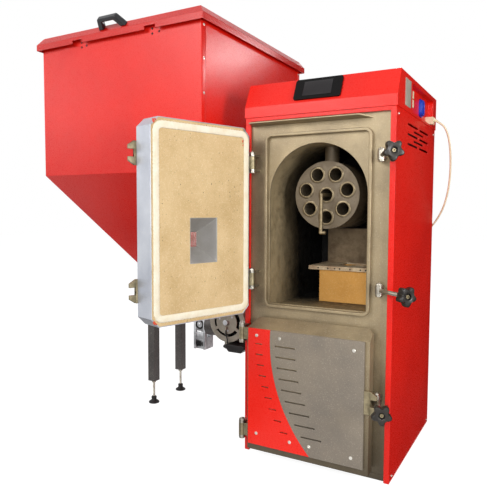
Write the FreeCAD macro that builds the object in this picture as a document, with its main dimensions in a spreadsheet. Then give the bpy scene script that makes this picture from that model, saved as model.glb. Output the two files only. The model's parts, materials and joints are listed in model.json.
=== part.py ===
import FreeCAD, Part
import math
import os

import Sketcher

# Pellet boiler with a pellet hopper at its left side.
# Millimetres, +Z up, +X to the boiler's right, +Y to its back.
# The origin is the centre of the boiler's base on the floor.

SIZES = {
    # Cabinet
    "cabinet_width": 500,
    "cabinet_depth": 575,
    "panel_height": 1132,
    "panel_gauge": 2,
    "panel_flange": 17,
    "panel_return": 9,
    "base_height": 20,
    "base_gauge": 3,
    "plate_setback": 12,
    "plate_thickness": 10,
    # Cap with the sloped control face
    "cap_overhang": 3,
    "cap_band": 34,
    "cap_height": 114,
    "cap_setback": 38,
    "cap_lip": 12,
    "fascia_height": 12,
    "bezel_width": 157,
    "bezel_height": 75,
    "bezel_thickness": 6,
    "bezel_radius": 8,
    "bezel_rise": 9,
    "screen_width": 96,
    "screen_height": 54,
    "screen_gauge": 1,
    # Connector bay in the right side of the cap
    "bay_length": 340,
    "bay_rear": 52,
    "bay_height": 90,
    "bay_sill": 8,
    "bay_depth": 16,
    "bay_radius": 12,
    "bay_margin": 8,
    "socket_width": 44,
    "socket_height": 62,
    "socket_rise": 12,
    "socket_back": 190,
    "terminal_width": 12,
    "terminal_height": 52,
    "terminal_rise": 9,
    "terminal_inset": 10,
    # Louvres in the right side panel
    "louvre_length": 143,
    "louvre_height": 6,
    "louvre_pitch": 15.4,
    "louvre_drop": 33.5,
    "louvre_gap": 27,
    "louvre_centre": 12,
    # Water jacket and front openings
    "jacket_half": 225,
    "jacket_wall": 6,
    "firebox_half": 165,
    "arch_drop": 257,
    "vessel_drop": 32,
    "rear_space": 26,
    "jacket_rear": 60,
    "vessel_floor": 25,
    "firebox_floor": 506,
    "floor_thickness": 35,
    "arch_bottom": 518,
    "ash_half": 160,
    "ash_bottom": 70,
    "ash_top": 440,
    "lip_half": 180,
    "lip_bottom": 505,
    "lip_drop": 56,
    "lip_bar": 10,
    "lip_depth": 14,
    "lip_corner": 24,
    "ash_lip_bottom": 52,
    "ash_lip_top": 458,
    "hood_left": 227,
    "hood_length": 407,
    "hood_reach": 36,
    "hood_rise": 6,
    "hood_gauge": 4,
    "hood_drop": 28,
    "hood_bevel": 34,
    # Tube bundle in the firebox
    "drum_radius": 112,
    "drum_wall": 5,
    "drum_rise": 3,
    "drum_front": 78,
    "drum_plate": 10,
    "tube_radius": 24.15,
    "tube_wall": 3.5,
    "tube_ring": 73.5,
    "tube_proud": 3,
    "ring_tubes": 7,
    "riser_radius": 24,
    "riser_setback": 48,
    "rod_radius": 6,
    "rod_knee": 6.5,
    "rod_reach": 48,
    "rod_drop": 123,
    "rod_hook": 17,
    "rod_length": 340,
    "scraper_gap": 0.35,
    "scraper_gauge": 4,
    "scraper_pitch": 70,
    # Burner and ash pan
    "burner_left": 61,
    "flange_left": 100,
    "burner_front": 103.5,
    "burner_depth": 176,
    "board_height": 120,
    "board_gauge": 25,
    "flange_gauge": 6,
    "flange_lip": 14,
    "retort_length": 130,
    "retort_width": 100,
    "retort_centre": 52,
    "bend_radius": 90,
    "baffle_gauge": 12,
    "baffle_gap": 6,
    "baffle_left": 92,
    "pan_half": 150,
    "pan_height": 190,
    "pan_gauge": 2,
    "pan_inset": 12,
    "pan_rear": 33,
    # Connections at the back
    "flue_radius": 75,
    "flue_wall": 3,
    "flue_reach": 90,
    "flue_bore": 100,
    "flue_flange": 12,
    "neck_step": 1,
    "neck_out": 2,
    "nipple_radius": 16.6,
    "nipple_wall": 3.4,
    "nipple_reach": 45,
    "flow_drop": 82,
    "return_level": 110,
    # Upper door
    "door_left": 186,
    "door_right": 190,
    "door_bottom": 490,
    "door_drop": 43,
    "door_thickness": 73,
    "door_skin": 3,
    "door_chamfer": 25,
    "door_angle": 108,
    "hinge_inset": 28,
    "hinge_reach": 34,
    "hinge_drop": 107,
    "hinge_rise": 108,
    "rope_width": 22,
    "rope_spread": 3,
    "rope_corner": 32,
    "rope_depth": 9,
    "rope_proud": 3,
    "window_width": 105,
    "window_height": 138,
    "window_rise": 245,
    "window_side": 187,
    "glass_size": 50,
    "glass_margin": 8,
    "glass_gauge": 4,
    "sleeve_gauge": 2,
    # Lower door
    "ash_door_left": 215,
    "ash_door_right": 198,
    "ash_door_bottom": 30,
    "ash_door_top": 471,
    "ash_door_thickness": 40,
    "ash_door_bevel": 31,
    "ash_door_slant": 24,
    "ash_door_corner": 14,
    "ash_hinge_inset": 29,
    "ash_hinge_reach": 30,
    "ash_hinge_high": 416,
    "ash_hinge_low": 86,
    "cover_gauge": 8,
    "cover_left": 209,
    "cover_right": 184,
    "cover_bottom": 51,
    "cover_top": 440,
    "cover_bow": 516,
    "cover_split_top": 128,
    "cover_split_bottom": 12,
    "slot_rows": 9,
    "slot_pitch": 35,
    "slot_low": 110,
    "slot_height": 4.5,
    "slot_red": 28,
    "slot_red_gap": 28,
    "slot_grey": 70,
    "slot_grey_gap": 18,
    # Hinges, swing bolts and forks
    "pin_radius": 6,
    "barrel_radius": 11,
    "barrel_height": 41,
    "lug_gauge": 6,
    "arm_gauge": 10,
    "bolt_inset": 40,
    "bolt_reach": 20,
    "bolt_drop": 99,
    "bolt_rise": 100,
    "bolt_low": 258,
    "bolt_radius": 6,
    "eye_radius": 11,
    "eye_height": 14,
    "bolt_length": 128,
    "knob_reach": 101,
    "knob_height": 24,
    "knob_lobe": 10.5,
    "knob_ring": 19.5,
    "knob_core": 21,
    "knob_hub": 14,
    "knob_hub_height": 12,
    "angle_high": 30,
    "angle_middle": 52,
    "angle_low": 22,
    "fork_height": 70,
    "fork_slot": 22,
    "fork_gauge": 8,
    "fork_reach": 25,
    "fork_root": 24,
    "fork_throat": 5,
    "fork_taper": 12,
    # Hopper
    "hopper_gap": 118,
    "hopper_width": 744,
    "hopper_depth": 790,
    "hopper_centre": 15,
    "hopper_knee": 959,
    "hopper_rim": 1445,
    "hopper_gauge": 3,
    "rim_height": 22,
    "rim_overhang": 18,
    "rim_gauge": 2,
    "notch_width": 48,
    "notch_height": 12,
    "notch_offset": 172,
    "lid_height": 27,
    "lid_inset": 20,
    "lid_gauge": 2,
    "lid_pin_out": 8,
    "lid_pin_rise": 3,
    "lid_pin_radius": 3,
    "lid_barrel": 6,
    "lid_knuckle": 40,
    "lid_hinge_offset": 250,
    "handle_length": 128,
    "handle_height": 44,
    "handle_width": 22,
    "handle_bar": 15,
    "handle_slant": 22,
    "handle_foot": 24,
    "outlet_width": 157,
    "outlet_depth": 192,
    "outlet_level": 527,
    "outlet_right": 640,
    "leg_size": 35,
    "leg_wall": 2,
    "leg_bottom": 97,
    "leg_spacing": 192,
    "foot_radius": 22.5,
    "foot_rim": 4,
    "foot_height": 16,
    "foot_neck": 10,
    "foot_collar": 10,
    "spindle_radius": 5,
    # Feeder
    "feed_level": 482,
    "burner_level": 348,
    "pipe_radius": 45,
    "pipe_wall": 4,
    "end_plate": 8,
    "plate_overlap": 19,
    "feed_end": 495,
    "chute_centre": 545,
    "chute_radius": 40,
    "burner_pipe_end": 592,
    "auger_shaft": 10,
    "auger_radius": 36,
    "auger_pitch": 70,
    "auger_gauge": 4,
    "auger_gap": 6,
    "gear_width": 56,
    "gear_length": 58,
    "gear_head": 24,
    "gear_boss": 20,
    "boss_height": 8,
    "motor_drop": 105,
    "motor_core": 50,
    "motor_rail": 9,
    # Combustion fan
    "wind_length": 230,
    "wind_half": 62,
    "wind_bottom": 270,
    "wind_top": 440,
    "wind_gauge": 3,
    "fan_side": 188,
    "fan_level": 391,
    "fan_radius": 80,
    "fan_depth": 50,
    "fan_wall": 5,
    "fan_mouth": 58,
    "fan_back": 3,
    "rotor_radius": 64,
    "rotor_eye": 36,
    "rotor_back": 8,
    "rotor_blades": 12,
    "rotor_gauge": 2,
    "rotor_depth": 30,
    "motor_disc": 46,
    "disc_gauge": 5,
    "disc_arm": 68,
    "arm_width": 12,
    "hub_radius": 11,
    "hub_height": 10,
    "fan_shaft": 4,
    "terminal_box_left": 184,
    "terminal_box_right": 102,
    "terminal_box_top": 308,
    "terminal_box_depth": 28,
    "terminal_box_reach": 70,
    "terminal_box_chamfer": 14,
    "lead_radius": 2.5,
    "lead_boss": 12,
    "lead_boss_half": 5,
    "lead_drop": 17,
    "lead_shift": 8,
    # Power lead at the right side
    "cord_radius": 3.5,
    "plug_width": 30,
    "plug_height": 26,
    "plug_reach": 9,
    "plug_back": 86,
    "plug_rise": 2,
    "relief_length": 26,
    "relief_radius": 7,
    "cord_side": 24,
    "cord_rear": 4.5,
    "cord_rise": 10,
    "gland_radius": 11,
    "gland_reach": 22,
    "gland_side": 100,
    "gland_level": 690,
    # Running clearances
    "slide_gap": 0.3,
    "turn_gap": 0.05,
    "seat_gap": 0.2,
}

doc = FreeCAD.newDocument("PelletBoiler")
sheet = doc.addObject("Spreadsheet::Sheet", "Sizes")
for row, (alias, amount) in enumerate(SIZES.items(), 1):
    sheet.set(f"A{row}", alias)
    sheet.set(f"B{row}", str(amount))
    sheet.setAlias(f"B{row}", alias)
doc.recompute()


class Dim:
    """A size that keeps its number together with the formula that ties it to the sheet."""

    def __init__(self, value, formula):
        self.value = value
        self.formula = formula

    def __add__(self, other):
        other = dim(other)
        return Dim(self.value + other.value, f"({self.formula} + {other.formula})")

    def __sub__(self, other):
        other = dim(other)
        return Dim(self.value - other.value, f"({self.formula} - {other.formula})")

    def __mul__(self, other):
        other = dim(other)
        return Dim(self.value * other.value, f"({self.formula} * {other.formula})")

    def __truediv__(self, other):
        other = dim(other)
        return Dim(self.value / other.value, f"({self.formula} / {other.formula})")

    def __neg__(self):
        return Dim(-self.value, f"(0 - {self.formula})")

    def __radd__(self, other):
        return dim(other) + self

    def __rsub__(self, other):
        return dim(other) - self

    def __rmul__(self, other):
        return dim(other) * self


def dim(amount):
    """A plain number as a size, or a size as it is."""
    if isinstance(amount, Dim):
        return amount
    return Dim(float(amount), f"({amount:.6f})")


def root(square):
    return Dim(math.sqrt(square.value), f"sqrt({square.formula})")


def slope_angle(run, rise):
    """The angle whose tangent is run over rise, in degrees."""
    return Dim(math.degrees(math.atan2(run.value, rise.value)), f"atan({run.formula} / {rise.formula})")


class Sizes:
    """The sheet's sizes as attributes."""

    def __getattr__(self, name):
        return Dim(float(sheet.get(name)), f"Sizes.{name}")


s = Sizes()
nodes = {}


def span(first, second):
    """Two levels in rising order."""
    return (first, second) if first.value < second.value else (second, first)


def bind(item, prop, amount):
    item.setExpression(prop, dim(amount).formula)


def add(kind, name):
    return doc.addObject(kind, name)


def node(name, item):
    """Names the finished sub-part."""
    item.Label = name
    nodes[name] = item
    return item


# Solids

TURN = {
    "X": FreeCAD.Rotation(FreeCAD.Vector(0, 1, 0), 90),
    "Y": FreeCAD.Rotation(FreeCAD.Vector(1, 0, 0), -90),
    "Z": FreeCAD.Rotation(),
}


def move(item, x, y, z):
    bind(item, "Placement.Base.x", x)
    bind(item, "Placement.Base.y", y)
    bind(item, "Placement.Base.z", z)
    return item


def turn(item, axis, angle, x, y, z):
    """Turns a finished piece about its own origin, then sets it at x, y, z."""
    item.Placement = FreeCAD.Placement(FreeCAD.Vector(), FreeCAD.Rotation(axis, dim(angle).value))
    bind(item, "Placement.Rotation.Angle", angle)
    return move(item, x, y, z)


def box(name, x, y, z):
    """A box between low and high levels along each axis."""
    item = add("Part::Box", name)
    bind(item, "Length", x[1] - x[0])
    bind(item, "Width", y[1] - y[0])
    bind(item, "Height", z[1] - z[0])
    return move(item, x[0], y[0], z[0])


def rod(name, axis, start, radius, length):
    """A cylinder from the centre of its low end along an axis."""
    item = add("Part::Cylinder", name)
    item.Placement = FreeCAD.Placement(FreeCAD.Vector(), TURN[axis])
    bind(item, "Radius", radius)
    bind(item, "Height", length)
    return move(item, *start)


def cone(name, start, low, high, length):
    """An upright cone between two radii."""
    item = add("Part::Cone", name)
    bind(item, "Radius1", low)
    bind(item, "Radius2", high)
    bind(item, "Height", length)
    return move(item, *start)


def fuse(name, pieces):
    item = add("Part::MultiFuse", name)
    item.Shapes = pieces
    return item


def cut(name, base, tools):
    item = add("Part::Cut", name)
    item.Base = base
    item.Tool = tools[0] if len(tools) == 1 else fuse(name + "_tools", tools)
    return item


def pipe(name, axis, start, radius, wall, length):
    """A straight round tube."""
    outer = rod(name + "_outer", axis, start, radius, length)
    inner = rod(name + "_inner", axis, start, radius - wall, length)
    return cut(name, outer, [inner])


def shrink(level, wall):
    return level[0] + wall, level[1] - wall


def casing(name, x, y, z, wall, sleeves=()):
    """A closed box of sheet, with solid sleeves (axis, start, radius, length) left standing inside."""
    inner = box(name + "_hollow", shrink(x, wall), shrink(y, wall), shrink(z, wall))
    if sleeves:
        tubes = [rod(f"{name}_sleeve_{i}", *sleeve) for i, sleeve in enumerate(sleeves)]
        inner = cut(name + "_space", inner, tubes)
    return cut(name, box(name + "_block", x, y, z), [inner])


def group(name, pieces):
    item = add("Part::Compound", name)
    item.Links = pieces
    return item


def frustum(name, low, high, z):
    """A rectangular frustum: low and high are (x0, x1, y0, y1) at the two levels of z."""
    item = add("Part::Wedge", name)
    item.Placement = FreeCAD.Placement(FreeCAD.Vector(), FreeCAD.Rotation(FreeCAD.Vector(1, 0, 0), 90))
    bind(item, "Ymin", z[0])
    bind(item, "Ymax", z[1])
    for suffix, (x0, x1, y0, y1) in (("", low), ("2", high)):
        bind(item, f"X{suffix}min", x0)
        bind(item, f"X{suffix}max", x1)
        bind(item, f"Z{suffix}min", -y1)
        bind(item, f"Z{suffix}max", -y0)
    return item


# Sketched bodies

ROLES = {"XY": "XY_Plane", "XZ": "XZ_Plane", "YZ": "YZ_Plane"}


def pin_point(sketch, edge, end, x, y):
    """Ties an end point of a sketch edge to two sizes."""
    for kind, amount in (("DistanceX", x), ("DistanceY", y)):
        if amount is None:
            continue
        index = sketch.addConstraint(Sketcher.Constraint(kind, -1, 1, edge, end, dim(amount).value))
        sketch.setExpression(f"Constraints[{index}]", dim(amount).formula)


def vector(point):
    return FreeCAD.Vector(dim(point[0]).value, dim(point[1]).value, 0)


def polygon(corners):
    """A closed outline of straight edges."""
    def draw(sketch):
        first = sketch.GeometryCount
        count = len(corners)
        for i in range(count):
            sketch.addGeometry(Part.LineSegment(vector(corners[i]), vector(corners[(i + 1) % count])), False)
        for i in range(count):
            sketch.addConstraint(Sketcher.Constraint("Coincident", first + i, 2, first + (i + 1) % count, 1))
            pin_point(sketch, first + i, 1, *corners[i])
    return draw


def rectangle(x, y):
    return polygon([(x[0], y[0]), (x[1], y[0]), (x[1], y[1]), (x[0], y[1])])


def chamfered(x, y, size):
    """A rectangle with its four corners cut at 45 degrees."""
    (x0, x1), (y0, y1) = x, y
    return polygon([
        (x0 + size, y0), (x1 - size, y0), (x1, y0 + size), (x1, y1 - size),
        (x1 - size, y1), (x0 + size, y1), (x0, y1 - size), (x0, y0 + size)])


def circle(x, y, radius):
    def draw(sketch):
        shape = Part.Circle(vector((x, y)), FreeCAD.Vector(0, 0, 1), dim(radius).value)
        edge = sketch.addGeometry(shape, False)
        pin_point(sketch, edge, 3, x, y)
        index = sketch.addConstraint(Sketcher.Constraint("Radius", edge, dim(radius).value))
        sketch.setExpression(f"Constraints[{index}]", dim(radius).formula)
    return draw


def arc_between(sketch, centre, start, end):
    """An arc about a centre, counter-clockwise from start to end."""
    middle = vector(centre)
    radius = (vector(start) - middle).Length
    angles = [math.atan2(p.y - middle.y, p.x - middle.x) for p in (vector(start), vector(end))]
    round_edge = Part.Circle(middle, FreeCAD.Vector(0, 0, 1), radius)
    return sketch.addGeometry(Part.ArcOfCircle(round_edge, angles[0], angles[1]), False)


def arch(half, bottom, spring):
    """An upright opening with a half-round top."""
    def draw(sketch):
        low_left, low_right = (-half, bottom), (half, bottom)
        high_left, high_right = (-half, spring), (half, spring)
        first = sketch.GeometryCount
        for start, end in ((high_left, low_left), (low_left, low_right), (low_right, high_right)):
            sketch.addGeometry(Part.LineSegment(vector(start), vector(end)), False)
        top = arc_between(sketch, (0, spring), high_right, high_left)
        for edge in (first, first + 1):
            sketch.addConstraint(Sketcher.Constraint("Coincident", edge, 2, edge + 1, 1))
        sketch.addConstraint(Sketcher.Constraint("Coincident", first + 2, 2, top, 1))
        sketch.addConstraint(Sketcher.Constraint("Coincident", top, 2, first, 1))
        for edge, corner in ((first, high_left), (first + 1, low_left), (first + 2, low_right)):
            pin_point(sketch, edge, 1, *corner)
        pin_point(sketch, first + 2, 2, *high_right)
        pin_point(sketch, top, 3, None, spring)
    return draw


def rounded(x, y, radius):
    """A rectangle with round corners."""
    def draw(sketch):
        (x0, x1), (y0, y1) = x, y
        sides = [
            ((x0 + radius, y0), (x1 - radius, y0)), ((x1, y0 + radius), (x1, y1 - radius)),
            ((x1 - radius, y1), (x0 + radius, y1)), ((x0, y1 - radius), (x0, y0 + radius))]
        centres = [
            (x1 - radius, y0 + radius), (x1 - radius, y1 - radius),
            (x0 + radius, y1 - radius), (x0 + radius, y0 + radius)]
        first = sketch.GeometryCount
        for start, end in sides:
            sketch.addGeometry(Part.LineSegment(vector(start), vector(end)), False)
        for i in range(4):
            following = (i + 1) % 4
            corner = arc_between(sketch, centres[i], sides[i][1], sides[following][0])
            sketch.addConstraint(Sketcher.Constraint("Coincident", first + i, 2, corner, 1))
            sketch.addConstraint(Sketcher.Constraint("Coincident", corner, 2, first + following, 1))
            pin_point(sketch, corner, 3, centres[i][0], None)
        for i in range(4):
            pin_point(sketch, first + i, 1, *sides[i][0])
            pin_point(sketch, first + i, 2, *sides[i][1])
    return draw


def bowed(points, radius):
    """Three straight edges through four points, closed by a hollow arc between the last and the first."""
    def draw(sketch):
        first = sketch.GeometryCount
        for start, end in zip(points, points[1:]):
            sketch.addGeometry(Part.LineSegment(vector(start), vector(end)), False)
        chord = vector(points[-1]) - vector(points[0])
        side = FreeCAD.Vector(-chord.y, chord.x, 0) * (1 / chord.Length)
        depth = math.sqrt(radius.value ** 2 - chord.Length ** 2 / 4)
        centre = vector(points[0]) + chord * 0.5 + side * depth
        curve = arc_between(sketch, (centre.x, centre.y), points[0], points[-1])
        for i in (0, 1):
            sketch.addConstraint(Sketcher.Constraint("Coincident", first + i, 2, first + i + 1, 1))
        sketch.addConstraint(Sketcher.Constraint("Coincident", curve, 1, first, 1))
        sketch.addConstraint(Sketcher.Constraint("Coincident", curve, 2, first + 2, 2))
        for i in range(3):
            pin_point(sketch, first + i, 1, *points[i])
        pin_point(sketch, first + 2, 2, *points[3])
        index = sketch.addConstraint(Sketcher.Constraint("Radius", curve, radius.value))
        sketch.setExpression(f"Constraints[{index}]", radius.formula)
    return draw


def sketch_on(body, plane, loops, level):
    sketch = body.newObject("Sketcher::SketchObject", body.Name + "_sketch")
    origin_plane = [item for item in body.Origin.OriginFeatures if item.Role == ROLES[plane]][0]
    sketch.AttachmentSupport = [(origin_plane, "")]
    sketch.MapMode = "FlatFace"
    bind(sketch, "AttachmentOffset.Base.z", -level if plane == "XZ" else level)
    for draw in loops:
        draw(sketch)
    return sketch


def pad(body, plane, loops, low, high):
    """Adds the outlines between two levels along the plane's axis."""
    start = high if plane == "XZ" else low
    sketch = sketch_on(body, plane, loops, dim(start))
    feature = body.newObject("PartDesign::Pad", body.Name + "_pad")
    feature.Profile = sketch
    bind(feature, "Length", high - low)
    return body


def pocket(body, plane, loops, low, high):
    """Cuts the outlines out between two levels along the plane's axis."""
    start = low if plane == "XZ" else high
    sketch = sketch_on(body, plane, loops, dim(start))
    feature = body.newObject("PartDesign::Pocket", body.Name + "_pocket")
    feature.Profile = sketch
    bind(feature, "Length", high - low)
    return body


def prism(name, plane, loops, low, high):
    return pad(add("PartDesign::Body", name), plane, loops, low, high)


# Shared levels

half = s.cabinet_width / 2
inner_half = half - s.panel_gauge
front = -(s.cabinet_depth / 2)
back = s.cabinet_depth / 2
plate_front = front + s.plate_setback
plate_back = plate_front + s.plate_thickness
vessel_back = back - s.panel_gauge - s.rear_space
firebox_back = vessel_back - s.jacket_rear
cap_base = s.panel_height
arch_spring = s.panel_height - s.arch_drop
vessel_top = s.panel_height - s.vessel_drop
lip_top = s.panel_height - s.lip_drop
hood_level = s.panel_height - s.hood_drop
flow_level = s.panel_height - s.flow_drop
drum_level = arch_spring + s.drum_rise
door_top = s.panel_height - s.door_drop
hinge_high = door_top - s.hinge_drop
hinge_low = s.door_bottom + s.hinge_rise
bolt_high = door_top - s.bolt_drop
bolt_middle = s.door_bottom + s.bolt_rise
window_level = s.door_bottom + s.window_rise
cap_top = cap_base + s.cap_height
cap_side = half + s.cap_overhang
lip_front = plate_front - s.lip_depth
drum_face = plate_back + s.drum_front
flange_bottom = s.firebox_floor + s.board_height
feeder_axis = s.hopper_centre
burner_face = feeder_axis - s.burner_front
burner_rear = burner_face + s.burner_depth
bolt_axis_x = half - s.bolt_inset
bolt_axis_y = plate_front - s.bolt_reach
bay_y = (back - s.bay_rear - s.bay_length, back - s.bay_rear)
bay_z = (cap_base + s.bay_sill, cap_base + s.bay_sill + s.bay_height)
bay_mouth = cap_side - s.panel_gauge
bay_floor = bay_mouth - s.bay_depth
nipple_side = (s.jacket_half + s.firebox_half) / 2
Z_AXIS = FreeCAD.Vector(0, 0, 1)
X_AXIS = FreeCAD.Vector(1, 0, 0)
Y_AXIS = FreeCAD.Vector(0, 1, 0)


# Casing

def make_base():
    node("base_plate", casing("base", (-inner_half, inner_half), (plate_front, back - s.panel_gauge),
                              (dim(0), s.base_height), s.base_gauge))


def panel_outline(side):
    """A side panel's section: wall, front flange and its return."""
    flange = half - s.panel_flange
    points = [
        (half, front), (flange, front), (flange, front + s.panel_return),
        (flange + s.panel_gauge, front + s.panel_return), (flange + s.panel_gauge, front + s.panel_gauge),
        (inner_half, front + s.panel_gauge), (inner_half, back), (half, back)]
    return polygon([(x * side, y) for x, y in points])


def make_side_panels():
    left = prism("panel_left", "XY", [panel_outline(-1)], dim(0), s.panel_height)
    opening = rod("burner_opening", "X", (-half, feeder_axis, s.burner_level),
                  s.pipe_radius + s.seat_gap, s.panel_gauge)
    node("side_panel_left", cut("panel_left_cut", left, [opening]))

    right = prism("panel_right", "XY", [panel_outline(1)], dim(0), s.panel_height)
    slots = []
    for level in range(5):
        top = s.panel_height - s.louvre_drop - s.louvre_pitch * level + s.louvre_height / 2
        z = (top - s.louvre_height, top)
        if level % 2 == 0:
            near = s.louvre_centre - s.louvre_gap / 2
            far = s.louvre_centre + s.louvre_gap / 2
            slots.append(rectangle((near - s.louvre_length, near), z))
            slots.append(rectangle((far, far + s.louvre_length), z))
        else:
            middle = s.louvre_centre
            slots.append(rectangle((middle - s.louvre_length / 2, middle + s.louvre_length / 2), z))
    node("side_panel_right", pocket(right, "YZ", slots, inner_half, half))


def make_rear_panel():
    holes = [
        circle(0, drum_level, s.flue_radius + s.seat_gap),
        circle(nipple_side, flow_level, s.nipple_radius + s.seat_gap),
        circle(nipple_side, s.return_level, s.nipple_radius + s.seat_gap)]
    outline = rectangle((-inner_half, inner_half), (dim(0), s.panel_height))
    node("rear_panel", prism("rear", "XZ", [outline] + holes, back - s.panel_gauge, back))


def make_cap():
    """Top cover with its sloped face, and the fascia strip under it."""
    edge = front - s.cap_overhang
    rear = back + s.cap_overhang
    gauge = s.panel_gauge
    outer = [
        (edge, cap_base), (rear, cap_base), (rear, cap_top),
        (edge + s.cap_setback, cap_top), (edge, cap_base + s.cap_band)]
    inner = [
        (edge + gauge, cap_base + gauge), (rear - gauge, cap_base + gauge), (rear - gauge, cap_top - gauge),
        (edge + s.cap_setback + gauge, cap_top - gauge), (edge + gauge, cap_base + s.cap_band)]
    cover = prism("cap", "YZ", [polygon(outer)], -cap_side, cap_side)
    pocket(cover, "YZ", [polygon(inner)], gauge - cap_side, cap_side - gauge)
    mouth = rectangle((s.cap_lip - cap_side, cap_side - s.cap_lip), (edge + s.cap_lip, rear - s.cap_lip))
    pocket(cover, "XY", [mouth], cap_base, cap_base + gauge)
    pocket(cover, "YZ", [rounded(bay_y, bay_z, s.bay_radius)], cap_side - gauge, cap_side)
    strip_half = half - s.panel_flange
    strip = box("fascia", (-strip_half, strip_half), (front, plate_front),
                (s.panel_height - s.fascia_height, s.panel_height))
    node("top_cover", group("cap_group", [cover, strip]))


def make_controls():
    """Display bezel and screen on the slope."""
    lean = slope_angle(-s.cap_setback, s.cap_height - s.cap_band)
    low = s.bezel_rise
    middle = low + s.bezel_height / 2
    bezel_x = (-(s.bezel_width / 2), s.bezel_width / 2)
    screen_x = (-(s.screen_width / 2), s.screen_width / 2)
    screen_z = (middle - s.screen_height / 2, middle + s.screen_height / 2)
    bezel = prism("bezel", "XZ", [rounded(bezel_x, (low, low + s.bezel_height), s.bezel_radius)],
                  -s.bezel_thickness, dim(0))
    screen = prism("screen", "XZ", [rectangle(screen_x, screen_z)],
                   -(s.bezel_thickness + s.screen_gauge), -s.bezel_thickness)
    panel = group("controls", [bezel, screen])
    node("control_panel", turn(panel, X_AXIS, lean, 0, front - s.cap_overhang, cap_base + s.cap_band))


def make_connector_bay():
    """Recessed tray in the cap's right side with its connectors."""
    tray = box("tray_block", (bay_floor - s.panel_gauge, bay_mouth),
               (bay_y[0] - s.bay_margin, bay_y[1] + s.bay_margin),
               (cap_base + s.panel_gauge, bay_z[1] + s.bay_margin))
    hollow = prism("tray_hollow", "YZ", [rounded(bay_y, bay_z, s.bay_radius)], bay_floor, bay_mouth)
    node("connector_plate", cut("tray", tray, [hollow]))

    middle_y = back - s.socket_back
    middle_z = (bay_z[0] + bay_z[1]) / 2
    socket_y = (middle_y - s.socket_width / 2, middle_y + s.socket_width / 2)
    socket_z = (middle_z - s.socket_height / 2, middle_z + s.socket_height / 2)
    socket = prism("socket", "YZ", [rounded(socket_y, socket_z, s.socket_width / 2 - s.panel_gauge)],
                   bay_floor, bay_floor + s.socket_rise)
    terminal_y = bay_y[0] + s.terminal_inset
    terminal = box("terminal", (bay_floor, bay_floor + s.terminal_rise),
                   (terminal_y, terminal_y + s.terminal_width),
                   (middle_z - s.terminal_height / 2, middle_z + s.terminal_height / 2))
    node("side_connectors", group("connectors", [socket, terminal]))


# Water jacket and front plate

def make_vessel():
    """The welded water jacket: two sides, crown, rear wall, bottom and the firebox deck."""
    wall = s.jacket_wall
    depth = (plate_back, vessel_back)
    upright = (s.base_height, arch_spring)
    bore = s.pipe_radius + s.seat_gap

    thickness = s.jacket_half - s.firebox_half
    passage = (-s.jacket_half, feeder_axis, s.burner_level)
    left_box = casing("jacket_left_box", (-s.jacket_half, -s.firebox_half), depth, upright, wall,
                      [("X", passage, bore + wall, thickness)])
    left = cut("jacket_left", left_box, [rod("jacket_passage", "X", passage, bore, thickness)])
    right = casing("jacket_right", (s.firebox_half, s.jacket_half), depth, upright, wall)

    vault_start = (0, plate_back, arch_spring)
    length = vessel_back - plate_back
    crown_box = casing("crown_box", (-s.jacket_half, s.jacket_half), depth, (arch_spring, vessel_top), wall,
                       [("Y", vault_start, s.firebox_half + wall, length)])
    crown = cut("crown", crown_box, [rod("vault", "Y", vault_start, s.firebox_half, length)])

    inside = s.firebox_half - s.seat_gap
    bottom_top = s.base_height + s.vessel_floor
    rear = prism("jacket_rear_wall", "XZ", [
        arch(inside, bottom_top, arch_spring), circle(0, drum_level, s.flue_bore)], firebox_back, vessel_back)
    rear_space = prism("jacket_rear_space", "XZ", [
        arch(inside - wall, bottom_top + wall, arch_spring),
        circle(0, drum_level, s.flue_bore + wall)], firebox_back + wall, vessel_back - wall)
    across = (-s.firebox_half, s.firebox_half)
    bottom = casing("vessel_bottom", across, depth, (s.base_height, bottom_top), wall)

    deck_z = (s.firebox_floor - s.floor_thickness, s.firebox_floor)
    neck = (s.retort_centre, feeder_axis, deck_z[0])
    deck_box = casing("deck_box", across, (plate_back, firebox_back), deck_z, wall,
                      [("Z", neck, bore + wall, s.floor_thickness)])
    deck = cut("firebox_deck", deck_box, [rod("deck_hole", "Z", neck, bore, s.floor_thickness)])
    node("boiler_vessel", group("vessel", [
        left, right, crown, cut("jacket_rear", rear, [rear_space]), bottom, deck]))


def make_front():
    """Front plate with the arched fire opening and the ash opening, its seal lips and the hood."""
    outline = rectangle((-inner_half, inner_half), (s.base_height, s.panel_height))
    mouth = arch(s.firebox_half, s.arch_bottom, arch_spring)
    ash_mouth = rectangle((-s.ash_half, s.ash_half), (s.ash_bottom, s.ash_top))
    node("front_plate", prism("front_sheet", "XZ", [outline, mouth, ash_mouth], plate_front, plate_back))

    lips = []
    frames = (("fire_lip", s.lip_bottom, lip_top), ("ash_lip", s.ash_lip_bottom, s.ash_lip_top))
    for name, low, high in frames:
        inner = s.lip_half - s.lip_bar
        rings = [
            rounded((-s.lip_half, s.lip_half), (low, high), s.lip_corner),
            rounded((-inner, inner), (low + s.lip_bar, high - s.lip_bar), s.lip_corner - s.lip_bar)]
        lips.append(prism(name, "XZ", rings, lip_front, plate_front))
    node("seal_lips", group("lips", lips))

    reach = plate_front - s.hood_reach
    top = hood_level + s.hood_gauge
    section = polygon([
        (plate_front, hood_level), (reach, hood_level + s.hood_rise),
        (reach, top + s.hood_rise), (plate_front, top)])
    right = s.hood_length - s.hood_left
    hood = prism("hood", "YZ", [section], -s.hood_left, right)
    corner = polygon([(right - s.hood_bevel, reach), (right, reach), (right, plate_front)])
    node("door_hood", pocket(hood, "XY", [corner], hood_level, top + s.hood_rise))


# Tube bundle

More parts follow.
